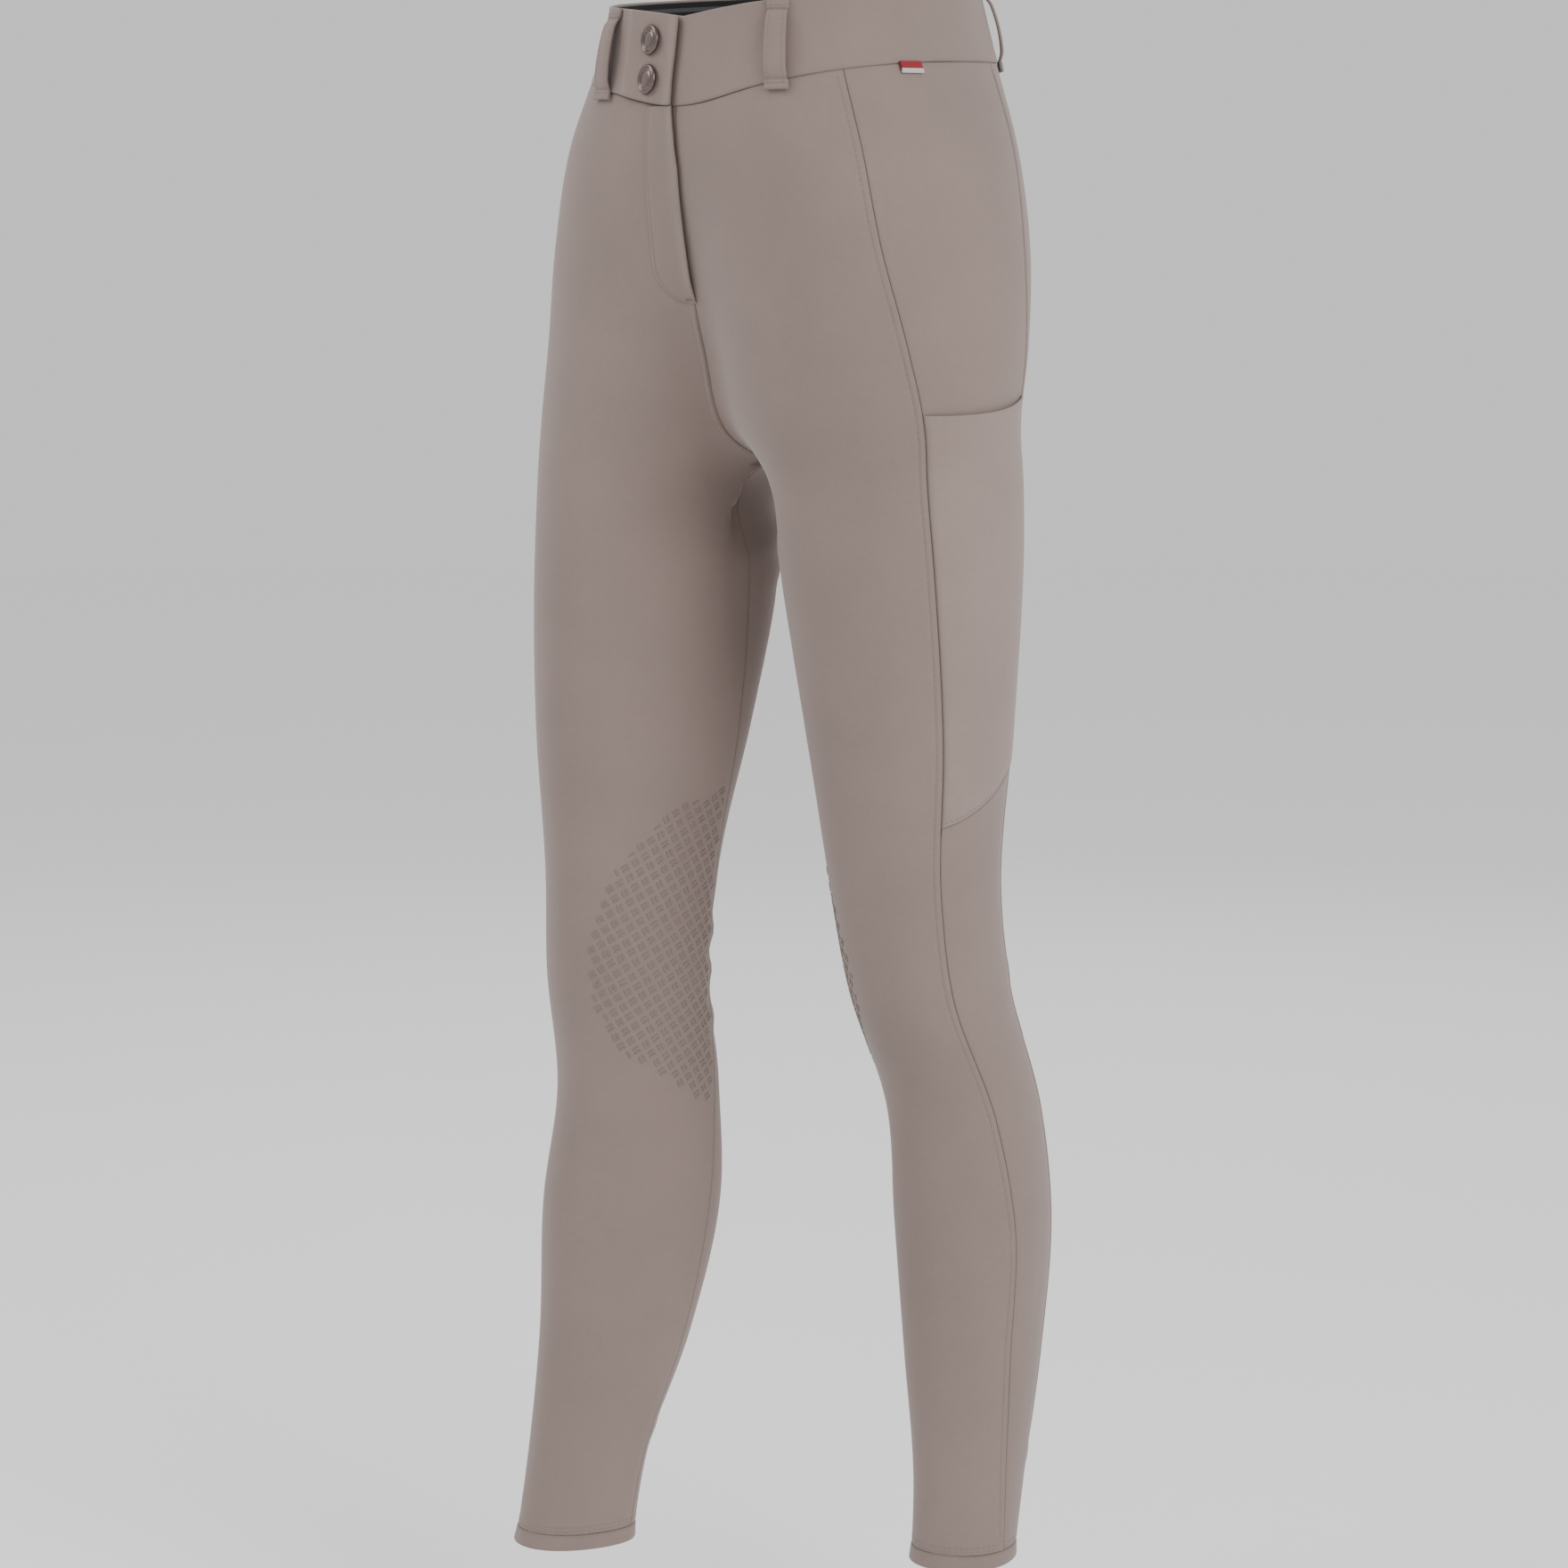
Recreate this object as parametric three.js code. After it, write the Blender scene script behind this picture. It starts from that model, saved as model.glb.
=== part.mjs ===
// Riding breeches, empty and standing as if worn in mid stride.
// Millimetres, +Z up, the front faces -Y and the wearer's left is +X.
// The origin is the middle of the waist opening, level with its top edge at the centre front.
import * as THREE from 'three';

// Cloth and clearances
const WALL = 1.5;
const SEAM_GAP = 0.3;
const LAID_ON = 0.5;
const WAIST_SEAM_ROOM = 0.4;

// Waistband, measured down from the top edge at the centre front
const BAND_WALL = 1.8;
const BAND_PROUD = 0.5;
const BAND_BACK_RISE = 22;
const BAND_FRONT_DEPTH = 54;
const BAND_SIDE_DEPTH = 27;
const BAND_FALL_ANGLE = 52;
const BAND_STEP = 4;
const TAB_END = -2;
const TAB_FROM = -30;
const TAB_FLAT_FROM = -26;
const UNDERLAP_END = -22;
const FACING_WALL = 1.2;
const FACING_FROM = 8;
const FACING_TO = 332;

// Fly strip over the centre front seam
const FLY_EDGE = 2;
const FLY_WIDTH = 28;
const FLY_BOTTOM = -174;
const FLY_CURVE = 24;
const FLY_WALL = 1.2;
const FLY_LIFT = 0.9;

// Belt loops and press buttons
const LOOP_WIDTH = 12.5;
const LOOP_WALL = 1.8;
const LOOP_ROOM = 4.6;
const LOOP_BELOW_SEAM = 6;
const LOOPS = { loop_front_left: 44, loop_front_right: -33.5, loop_back_left: 132, loop_back_right: -132 };
const BUTTON_RADIUS = 9.3;
const BUTTON_HEIGHT = 3;
const BUTTON_ACROSS = -25;
const BUTTONS = { button_upper: -14, button_lower: -38 };

// Small folded tape in the left waist seam
const TAPE_ANGLE = 82;
const TAPE_WIDTH = 16;
const TAPE_DROP = 7;
const TAPE_WALL = 2;

// Side pockets, from the mouth down to the curved lower seam
const POCKET_WALL = 1.3;
const POCKET_MOUTH = -238;
const POCKET_FOOT = -492;
const POCKET_MOUTH_RISE = 10;
const POCKET_FOOT_RISE = 35;
const POCKET_GAPE = 2.2;
const POCKET_INSET = 0.02;

// Leg hems
const HEM_TOP = -962;
const HEM_BOTTOM = -972;
const HEM_WALL = 2.4;
const HEM_FLARE = 1.2;

// How fast the stride changes from one leg to the other across the middle
const STRIDE_BLEND = 40;

// Cross sections of the left half. Radii are taken about a leg centre that lies `centre` from the
// middle. `soft` rounds the cloth across the middle, `power` squares the section, `turn` is toe-out
// in degrees, and the shifts move each leg back in the stride.
const SECTION_COLUMNS = ['height', 'centre', 'outside', 'insideFront', 'insideBack', 'front', 'back',
  'soft', 'power', 'turn', 'shiftLeft', 'shiftRight'];
const SECTIONS = [
  [40, 38, 66, 153, 154, 86, 91, 40, 2.38, 0, 0, 0],
  [-20, 48, 72, 146, 150, 91, 99, 40, 2.38, 0, 0, 0],
  [-80, 64, 88, 121, 140, 98, 95, 36, 2.28, 0, 0, 0],
  [-140, 74, 93, 89, 125, 95, 92, 31, 2.26, 0, 0, -4],
  [-200, 80, 93, 76, 110, 89, 87, 27, 2.14, 0, -1, -12],
  [-250, 81, 87, 71, 92, 83, 83, 21, 1.99, 0, 2, -28],
  [-280, 82, 82, 62, 62, 78, 81, 15, 1.97, 1, 9, -37],
  [-340, 81, 75, 59, 59, 76, 79, 10, 2.05, 9, 15, -45],
  [-440, 84, 62, 54, 54, 64, 69, 10, 2.08, 16, 22, -58],
  [-540, 90, 52, 47, 47, 53, 54, 6, 2.1, 17, 23, -60],
  [-600, 93, 49, 46, 46, 50, 52, 6, 2.1, 17, 33, -61],
  [-680, 97, 46, 44, 44, 44, 58, 6, 2.1, 19, 58, -57],
  [-750, 98, 47, 44, 44, 45, 67, 6, 2.1, 21, 64, -67],
  [-840, 98, 41, 39, 39, 40, 55, 6, 2.1, 21, 66, -78],
  [-920, 100, 34, 32, 32, 34, 41, 6, 2.1, 21, 62, -95],
  [-975, 100, 30, 30, 30, 34, 40, 6, 2.1, 21, 58, -106],
];

// Seam angles about the leg centre, in degrees from the front towards the outside
const SEAM_COLUMNS = ['height', 'sideFront', 'sideBack', 'inseam'];
const SEAMS = [
  [40, 44, 137, -90],
  [-20, 45, 136, -90],
  [-80, 47, 126, -90],
  [-140, 50, 120, -90],
  [-200, 58, 121, -90],
  [-250, 64, 123, -90],
  [-280, 61, 123, -92],
  [-340, 55, 123, -108],
  [-440, 50, 120, -128],
  [-540, 47, 119, -142],
  [-600, 46, 120, -145],
  [-680, 54, 125, -145],
  [-750, 62, 128, -145],
  [-840, 61, 126, -145],
  [-920, 68, 128, -145],
  [-975, 80, 132, -145],
];

// Rows that all panels share: where a stretch starts and how many steps it takes to the next
const PANEL_ROWS = [[-BAND_FRONT_DEPTH, 9], [-226, 2], [POCKET_MOUTH, 8], [-290, 10], [POCKET_FOOT, 17],
  [HEM_TOP, 0]];
const FRONT_COLUMNS = 12;
const SIDE_COLUMNS = 5;
const BACK_COLUMNS = 10;

const CLOTH_COLOUR = 0x8d7f7b;
const POCKET_COLOUR = 0x9a8b87;
const FACING_COLOUR = 0x2b2a2a;
const TAPE_COLOUR = 0x9c2f35;

const rad = THREE.MathUtils.degToRad;
const deg = THREE.MathUtils.radToDeg;
const mix = THREE.MathUtils.lerp;
const ease = THREE.MathUtils.smoothstep;

// A smooth curve through each column of a table whose first column is a height
function smoothTable(columns, rows) {
  const sorted = [...rows].sort((a, b) => a[0] - b[0]);
  const heights = sorted.map((row) => row[0]);
  const last = heights.length - 1;
  const slopes = columns.map((_, c) => heights.map((height, i) => {
    const low = Math.max(i - 1, 0);
    const high = Math.min(i + 1, last);
    const below = (sorted[Math.max(i, 1)][c] - sorted[Math.max(i, 1) - 1][c])
      / (heights[Math.max(i, 1)] - heights[Math.max(i, 1) - 1]);
    const above = (sorted[Math.min(i, last - 1) + 1][c] - sorted[Math.min(i, last - 1)][c])
      / (heights[Math.min(i, last - 1) + 1] - heights[Math.min(i, last - 1)]);
    const share = high === low ? 0 : (height - heights[low]) / (heights[high] - heights[low]);
    return below * (1 - share) + above * share;
  }));
  const known = new Map();
  return (height) => {
    if (known.has(height)) return known.get(height);
    const z = THREE.MathUtils.clamp(height, heights[0], heights[last]);
    let i = 0;
    while (i < last - 1 && z > heights[i + 1]) i += 1;
    const span = heights[i + 1] - heights[i];
    const t = (z - heights[i]) / span;
    const found = {};
    columns.forEach((name, c) => {
      found[name] = (2 * t ** 3 - 3 * t ** 2 + 1) * sorted[i][c]
        + (t ** 3 - 2 * t ** 2 + t) * span * slopes[c][i]
        + (3 * t ** 2 - 2 * t ** 3) * sorted[i + 1][c]
        + (t ** 3 - t ** 2) * span * slopes[c][i + 1];
    });
    known.set(height, found);
    return found;
  };
}

const sectionAt = smoothTable(SECTION_COLUMNS, SECTIONS);
const seamAt = smoothTable(SEAM_COLUMNS, SEAMS);

// Below zero inside the section, above zero outside; u and v are taken about the leg centre
function sectionValue(s, u, v) {
  const depth = (Math.abs(v) / (v < 0 ? s.front : s.back)) ** s.power;
  if (u >= 0) return (u / s.outside) ** s.power + depth - 1;
  const x = s.centre + u;
  const inward = Math.max(s.centre - Math.sqrt(x * x + s.soft * s.soft), 0);
  return (inward / (v < 0 ? s.insideFront : s.insideBack)) ** s.power + depth - 1;
}

function valueAt(x, y, z) {
  const s = sectionAt(z);
  const a = rad(s.turn);
  const dx = x - s.centre;
  return sectionValue(s, dx * Math.cos(a) + y * Math.sin(a), y * Math.cos(a) - dx * Math.sin(a));
}

// The distance from 0 to `far` at which `outside` turns positive
function edgeAlong(outside, far) {
  let low = 0;
  let high = far;
  for (let i = 0; i < 40; i += 1) {
    const middle = (low + high) / 2;
    if (outside(middle) > 0) high = middle;
    else low = middle;
  }
  return (low + high) / 2;
}

// A point of the left half before the stride, at an angle about the leg centre
function legPoint(angle, z) {
  const s = sectionAt(z);
  const across = Math.sin(rad(angle));
  const along = -Math.cos(rad(angle));
  const far = across < 0 ? Math.min(s.centre / -across, 260) : 260;
  const r = edgeAlong((d) => sectionValue(s, d * across, d * along), far);
  const a = rad(s.turn);
  const x = s.centre + r * (across * Math.cos(a) - along * Math.sin(a));
  const y = r * (along * Math.cos(a) + across * Math.sin(a));
  return new THREE.Vector3(x, y, z);
}

// A point of the body at an angle about the middle, for what runs round the waist
function waistPoint(angle, z) {
  const x = Math.abs(Math.sin(rad(angle)));
  const y = -Math.cos(rad(angle));
  const r = edgeAlong((d) => valueAt(d * x, d * y, z), 260);
  return new THREE.Vector3(r * x, r * y, z);
}

// A point of the front at a distance across from the middle
function frontPoint(across, z) {
  const y = edgeAlong((d) => valueAt(Math.abs(across), -d, z), 260);
  return new THREE.Vector3(Math.abs(across), -y, z);
}

function strideShift(x, z) {
  const s = sectionAt(z);
  const middle = (s.shiftLeft + s.shiftRight) / 2;
  return middle + (s.shiftLeft - s.shiftRight) / 2 * Math.tanh(x / STRIDE_BLEND);
}

// Puts a point of the left half on its side, in the stride, `lift` out along the cloth's normal
function dress(point, side, lift) {
  const h = 0.05;
  const { x, y, z } = point;
  const slope = new THREE.Vector3(
    side * (valueAt(x + h, y, z) - valueAt(x - h, y, z)),
    valueAt(x, y + h, z) - valueAt(x, y - h, z),
    valueAt(x, y, z + h) - valueAt(x, y, z - h),
  );
  const placed = new THREE.Vector3(side * x, y + strideShift(side * x, z), z);
  slope.x -= slope.y * (strideShift(side * x + h, z) - strideShift(side * x - h, z)) / (2 * h);
  slope.z -= slope.y * (strideShift(side * x, z + h) - strideShift(side * x, z - h)) / (2 * h);
  return placed.addScaledVector(slope.normalize(), lift);
}

const sideOf = (angle) => (((angle % 360) + 360) % 360 > 180 ? -1 : 1);
const aroundWaist = (angle, z, lift) => dress(waistPoint(angle, z), sideOf(angle), lift);
const acrossFront = (across, z, lift) => dress(frontPoint(across, z), across < 0 ? -1 : 1, lift);

// Angles of the centre front, the centre back and the inseam about the leg centre
function middleAngle(z, ahead) {
  const s = sectionAt(z);
  const inside = ahead ? s.insideFront : s.insideBack;
  const reach = (s.centre - s.soft) / inside;
  if (reach >= 1) return ahead ? seamAt(z).inseam : 360 + seamAt(z).inseam;
  const depth = (1 - reach ** s.power) ** (1 / s.power) * (ahead ? s.front : s.back);
  return ahead ? deg(Math.atan2(-s.centre, depth)) : 360 + deg(Math.atan2(-s.centre, -depth));
}

function waistAngle(angle) {
  const p = legPoint(angle, -40);
  return deg(Math.atan2(p.x, -p.y));
}

const bandTop = (angle) => BAND_BACK_RISE * Math.abs(Math.sin(rad(angle) / 2));
function waistSeam(angle) {
  const away = THREE.MathUtils.euclideanModulo(angle + 180, 360) - 180;
  const dip = (BAND_FRONT_DEPTH - BAND_SIDE_DEPTH) * Math.exp(-((away / BAND_FALL_ANGLE) ** 2));
  return -BAND_SIDE_DEPTH - dip;
}

// Heights of a panel's rows
function levels(stretches) {
  const found = [];
  for (let i = 0; i < stretches.length - 1; i += 1) {
    const [from, steps] = stretches[i];
    for (let k = 0; k < steps; k += 1) found.push(mix(from, stretches[i + 1][0], k / steps));
  }
  found.push(stretches[stretches.length - 1][0]);
  return found;
}

// Lifts the rows near the waist so that the top one follows the waist seam, and bends them to the
// pocket's mouth and lower seam. `reach` is 0 at the side front seam and 1 at the side back seam.
function rowHeight(level, angle, reach) {
  const under = waistSeam(waistAngle(angle)) + BAND_FRONT_DEPTH - WAIST_SEAM_ROOM;
  const mouth = ease(level, -420, POCKET_MOUTH) * ease(-level, 120, -POCKET_MOUTH);
  const foot = ease(level, -640, POCKET_FOOT) * ease(-level, 300, -POCKET_FOOT);
  return level + ease(level, -150, -BAND_FRONT_DEPTH) * under
    + POCKET_MOUTH_RISE * reach ** 3 * mouth
    + POCKET_FOOT_RISE * reach ** 1.3 * foot;
}

// A closed solid from an outer and an inner grid of points
function sheet(outer, inner) {
  const rows = outer.length;
  const columns = outer[0].length;
  const positions = [...outer.flat(), ...inner.flat()].flatMap((p) => [p.x, p.y, p.z]);
  const faces = [];
  const quad = (a, b, c, d) => faces.push(a, b, c, a, c, d);
  const out = (i, j) => i * columns + j;
  const into = (i, j) => rows * columns + out(i, j);
  for (let i = 0; i < rows - 1; i += 1) {
    for (let j = 0; j < columns - 1; j += 1) {
      quad(out(i, j), out(i + 1, j), out(i + 1, j + 1), out(i, j + 1));
      quad(into(i, j), into(i, j + 1), into(i + 1, j + 1), into(i + 1, j));
    }
    quad(out(i, 0), into(i, 0), into(i + 1, 0), out(i + 1, 0));
    quad(out(i, columns - 1), out(i + 1, columns - 1), into(i + 1, columns - 1), into(i, columns - 1));
  }
  for (let j = 0; j < columns - 1; j += 1) {
    quad(out(0, j), out(0, j + 1), into(0, j + 1), into(0, j));
    quad(out(rows - 1, j), into(rows - 1, j), into(rows - 1, j + 1), out(rows - 1, j + 1));
  }
  return solid(positions, faces);
}

// A closed ring from an outer and an inner grid whose columns go all the way round
function ring(outer, inner) {
  const rows = outer.length;
  const columns = outer[0].length;
  const positions = [...outer.flat(), ...inner.flat()].flatMap((p) => [p.x, p.y, p.z]);
  const faces = [];
  const quad = (a, b, c, d) => faces.push(a, b, c, a, c, d);
  const out = (i, j) => i * columns + (j % columns);
  const into = (i, j) => rows * columns + out(i, j);
  for (let j = 0; j < columns; j += 1) {
    for (let i = 0; i < rows - 1; i += 1) {
      quad(out(i, j), out(i + 1, j), out(i + 1, j + 1), out(i, j + 1));
      quad(into(i, j), into(i, j + 1), into(i + 1, j + 1), into(i + 1, j));
    }
    quad(out(0, j), out(0, j + 1), into(0, j + 1), into(0, j));
    quad(out(rows - 1, j), into(rows - 1, j), into(rows - 1, j + 1), out(rows - 1, j + 1));
  }
  return solid(positions, faces);
}

// Makes the geometry, with its faces turned outward
function solid(positions, faces) {
  const corner = (k) => new THREE.Vector3(...positions.slice(3 * faces[k], 3 * faces[k] + 3));
  let volume = 0;
  for (let k = 0; k < faces.length; k += 3) {
    volume += corner(k).dot(corner(k + 1).cross(corner(k + 2)));
  }
  const turned = volume > 0 ? faces : faces.reverse();
  const geometry = new THREE.BufferGeometry();
  geometry.setAttribute('position', new THREE.Float32BufferAttribute(positions, 3));
  geometry.setIndex(turned);
  geometry.computeVertexNormals();
  return geometry;
}

const cloth = (colour) => new THREE.MeshStandardMaterial({ color: colour, roughness: 0.92, metalness: 0 });

function piece(name, geometry, material) {
  const mesh = new THREE.Mesh(geometry, material);
  mesh.name = name;
  return mesh;
}

// Rows of points at a lift: `place` gives the point at a share across and a row height
function grid(rows, columns, place) {
  return rows.map((row) => Array.from({ length: columns + 1 }, (_, j) => place(j / columns, row)));
}

// Body panels

// Keeps a point clear of the middle, where the left and right panels are sewn together
function clearOfMiddle(point, side) {
  const p = point.clone();
  if (p.x * side < SEAM_GAP / 2) p.x = side * SEAM_GAP / 2;
  return p;
}

// A point of a panel between two seams, half a seam gap in from each
function panelPoint(side, from, to, share, z, lift) {
  const s = sectionAt(z);
  const margin = deg(SEAM_GAP / 2 / Math.min(s.outside, s.front));
  const angle = mix(from(z) + margin, to(z) - margin, share);
  return clearOfMiddle(dress(legPoint(angle, z), side, lift), side);
}

function bodyPanel(side, columns, from, to, reachOf) {
  const place = (lift) => (share, level) => {
    const angle = mix(from(level), to(level), share);
    return panelPoint(side, from, to, share, rowHeight(level, angle, reachOf(share)), lift);
  };
  const heights = levels(PANEL_ROWS);
  return sheet(grid(heights, columns, place(0)), grid(heights, columns, place(-WALL)));
}

const centreFront = (z) => middleAngle(z, true);
const centreBack = (z) => middleAngle(z, false);
const sideFront = (z) => seamAt(z).sideFront;
const sideBack = (z) => seamAt(z).sideBack;

function pocket(side) {
  const heights = levels(PANEL_ROWS).filter((z) => z <= POCKET_MOUTH && z >= POCKET_FOOT);
  const gape = (share, z) => {
    const near = ease(z, POCKET_MOUTH - 60, POCKET_MOUTH);
    return POCKET_GAPE * near * Math.sin(Math.PI * share);
  };
  const place = (lift) => (share, level) => {
    const inset = THREE.MathUtils.clamp(share, POCKET_INSET, 1 - POCKET_INSET);
    const z = rowHeight(level, mix(sideFront(level), sideBack(level), inset), inset);
    return panelPoint(side, sideFront, sideBack, inset, z, LAID_ON + lift + gape(share, level));
  };
  return sheet(grid(heights, SIDE_COLUMNS, place(POCKET_WALL)), grid(heights, SIDE_COLUMNS, place(0)));
}

function hem(side) {
  const heights = [HEM_TOP - SEAM_GAP, mix(HEM_TOP, HEM_BOTTOM, 0.5), HEM_BOTTOM];
  const place = (lift) => (share, z) => {
    const flare = HEM_FLARE * (HEM_TOP - z) / (HEM_TOP - HEM_BOTTOM);
    return dress(legPoint(360 * share, z), side, BAND_PROUD + lift + flare);
  };
  const around = (lift) => grid(heights, 36, place(lift)).map((row) => row.slice(0, -1));
  return ring(around(0), around(-HEM_WALL));
}

// Waist

// The band's outer face stands out where its right end laps over the left one
function bandLift(angle) {
  return BAND_PROUD + ease(angle, 360 + TAB_FROM, 360 + TAB_FLAT_FROM) * (BAND_WALL + LAID_ON);
}

function waistband() {
  const steps = (360 + TAB_END - UNDERLAP_END) / BAND_STEP;
  const place = (lift) => (share, rise) => {
    const angle = mix(UNDERLAP_END, 360 + TAB_END, share);
    const z = mix(waistSeam(angle) + SEAM_GAP / 2, bandTop(angle), rise);
    return aroundWaist(angle, z, bandLift(angle) + lift);
  };
  const rises = [0, 1 / 3, 2 / 3, 1];
  return sheet(grid(rises, steps, place(0)), grid(rises, steps, place(-BAND_WALL)));
}

function waistbandFacing() {
  const steps = (FACING_TO - FACING_FROM) / BAND_STEP;
  const face = BAND_PROUD - BAND_WALL - SEAM_GAP;
  const place = (lift) => (share, rise) => {
    const angle = mix(FACING_FROM, FACING_TO, share);
    const z = mix(waistSeam(angle) + 1, bandTop(angle) - 1, rise);
    return aroundWaist(angle, z, face + lift);
  };
  const rises = [0, 1 / 3, 2 / 3, 1];
  return sheet(grid(rises, steps, place(0)), grid(rises, steps, place(-FACING_WALL)));
}

function fly() {
  const top = waistSeam(0) - SEAM_GAP;
  const rows = Array.from({ length: 17 }, (_, i) => i / 16);
  const place = (lift) => (share, drop) => {
    const z = mix(top, FLY_BOTTOM, Math.sin(drop * Math.PI / 2));
    const into = THREE.MathUtils.clamp((FLY_BOTTOM + FLY_CURVE - z) / FLY_CURVE, 0, 1);
    const width = 2.5 + (FLY_WIDTH - 2.5) * Math.sqrt(1 - into * into);
    return acrossFront(mix(FLY_EDGE - width, FLY_EDGE, share), z, FLY_LIFT + lift);
  };
  return sheet(grid(rows, 6, place(FLY_WALL)), grid(rows, 6, place(0)));
}

function beltLoop(angle) {
  const across = aroundWaist(angle, -20, 0);
  const half = deg(LOOP_WIDTH / 2 / Math.hypot(across.x, across.y));
  const bottom = waistSeam(angle) - LOOP_BELOW_SEAM;
  const top = bandTop(angle) - 0.5;
  const rows = Array.from({ length: 13 }, (_, i) => i / 12);
  const place = (lift) => (share, climb) => {
    const z = mix(bottom, top, climb);
    const room = LOOP_ROOM * Math.sin(Math.PI * climb) ** 0.7;
    return aroundWaist(mix(angle - half, angle + half, share), z, BAND_PROUD + LAID_ON + room + lift);
  };
  return sheet(grid(rows, 2, place(LOOP_WALL)), grid(rows, 2, place(0)));
}

// A press button's cap, with two plain rings round a shallow dish
function buttonCap() {
  const r = BUTTON_RADIUS;
  const h = BUTTON_HEIGHT;
  const profile = [
    [0, 0], [r, 0], [r, 0.4 * h], [0.94 * r, 0.75 * h], [0.84 * r, h], [0.72 * r, 0.86 * h],
    [0.6 * r, 0.95 * h], [0.46 * r, 0.8 * h], [0, 0.72 * h],
  ];
  return new THREE.LatheGeometry(profile.map(([x, y]) => new THREE.Vector2(x, y)), 24);
}

function button(name, z) {
  const lift = BAND_PROUD + BAND_WALL + LAID_ON + SEAM_GAP;
  const seat = acrossFront(BUTTON_ACROSS, z, lift);
  const out = acrossFront(BUTTON_ACROSS, z, lift + 1).sub(seat);
  const mesh = piece(name, buttonCap(), cloth(CLOTH_COLOUR));
  mesh.position.copy(seat);
  mesh.quaternion.setFromUnitVectors(new THREE.Vector3(0, 1, 0), out.normalize());
  return mesh;
}

function sideTape() {
  const half = deg(TAPE_WIDTH / 2 / aroundWaist(TAPE_ANGLE, -30, 0).length());
  const top = waistSeam(TAPE_ANGLE) - 0.2;
  const place = (lift) => (share, drop) => {
    const angle = mix(TAPE_ANGLE - half, TAPE_ANGLE + half, share);
    return aroundWaist(angle, top - drop * TAPE_DROP, LAID_ON + lift);
  };
  return sheet(grid([0, 0.5, 1], 4, place(TAPE_WALL)), grid([0, 0.5, 1], 4, place(0)));
}

const breeches = new THREE.Group();
breeches.name = 'riding_breeches';

for (const [hand, side] of [['left', 1], ['right', -1]]) {
  const front = bodyPanel(side, FRONT_COLUMNS, centreFront, sideFront, () => 0);
  const flank = bodyPanel(side, SIDE_COLUMNS, sideFront, sideBack, (share) => share);
  const back = bodyPanel(side, BACK_COLUMNS, sideBack, centreBack, (share) => 1 - share);
  breeches.add(piece(`front_${hand}`, front, cloth(CLOTH_COLOUR)));
  breeches.add(piece(`side_${hand}`, flank, cloth(CLOTH_COLOUR)));
  breeches.add(piece(`back_${hand}`, back, cloth(CLOTH_COLOUR)));
  breeches.add(piece(`pocket_${hand}`, pocket(side), cloth(POCKET_COLOUR)));
  breeches.add(piece(`hem_${hand}`, hem(side), cloth(CLOTH_COLOUR)));
}
breeches.add(piece('waistband', waistband(), cloth(CLOTH_COLOUR)));
breeches.add(piece('waistband_facing', waistbandFacing(), cloth(FACING_COLOUR)));
breeches.add(piece('fly', fly(), cloth(CLOTH_COLOUR)));
for (const [name, angle] of Object.entries(LOOPS)) {
  breeches.add(piece(name, beltLoop(angle), cloth(CLOTH_COLOUR)));
}
for (const [name, z] of Object.entries(BUTTONS)) breeches.add(button(name, z));
breeches.add(piece('side_tape', sideTape(), cloth(TAPE_COLOUR)));

export default breeches;
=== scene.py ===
# Riding breeches: the looks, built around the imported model. The tables and sizes are in millimetres,
# the objects in metres. +Z is up, the front faces -Y and the wearer's left is +X.
import math

import bpy
import numpy as np
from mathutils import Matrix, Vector


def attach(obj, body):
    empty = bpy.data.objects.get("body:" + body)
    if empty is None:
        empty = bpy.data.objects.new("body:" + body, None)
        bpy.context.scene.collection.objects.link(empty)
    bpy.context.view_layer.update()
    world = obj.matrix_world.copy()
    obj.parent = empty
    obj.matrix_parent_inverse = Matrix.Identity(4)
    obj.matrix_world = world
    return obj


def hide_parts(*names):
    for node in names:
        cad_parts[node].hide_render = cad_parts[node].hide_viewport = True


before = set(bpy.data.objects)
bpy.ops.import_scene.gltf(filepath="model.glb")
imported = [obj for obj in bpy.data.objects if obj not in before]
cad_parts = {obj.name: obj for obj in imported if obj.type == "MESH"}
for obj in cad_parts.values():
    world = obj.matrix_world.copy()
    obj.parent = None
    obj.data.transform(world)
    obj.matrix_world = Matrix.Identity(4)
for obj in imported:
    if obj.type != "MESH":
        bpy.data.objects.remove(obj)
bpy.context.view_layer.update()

MM = 0.001

# Camera, which stands on the wearer's left front, level with the waistband's lower edge
CAMERA_AZIMUTH = 48
CAMERA_DISTANCE = 2820
CAMERA_HEIGHT = -111
TARGET_BACK = -5
TARGET_HEIGHT = -478
SENSOR = 36
LENS = 102.96

# Cloth and how the pieces lie on each other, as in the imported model
WALL = 1.5
LAID_ON = 0.5
BAND_WALL = 1.8
BAND_PROUD = 0.5
BAND_BACK_RISE = 22
BAND_FRONT_DEPTH = 54
BAND_SIDE_DEPTH = 27
BAND_FALL_ANGLE = 52
TAB_END = -0.5
TAB_FROM = -30
TAB_FLAT_FROM = -26
UNDERLAP_END = -22
FACING_WALL = 1.2
FACING_FROM = 8
FACING_TO = 332
FLY_EDGE = 2
FLY_WIDTH = 28
FLY_BOTTOM = -174
FLY_CURVE = 24
LOOP_WIDTH = 12.5
LOOP_WALL = 1.8
LOOP_ROOM = 4.6
LOOP_BELOW_SEAM = 6
LOOPS = {"loop_front_left": 44, "loop_front_right": -36.5, "loop_back_left": 132, "loop_back_right": -132}
BUTTON_RADIUS = 9.3
BUTTON_HEIGHT = 3
BUTTON_TURN = 9
BUTTON_ACROSS = -25
BUTTONS = {"button_upper": -14, "button_lower": -38}
TAPE_ANGLE = 82
TAPE_WIDTH = 16
TAPE_DROP = 7
TAPE_WALL = 2
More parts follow.
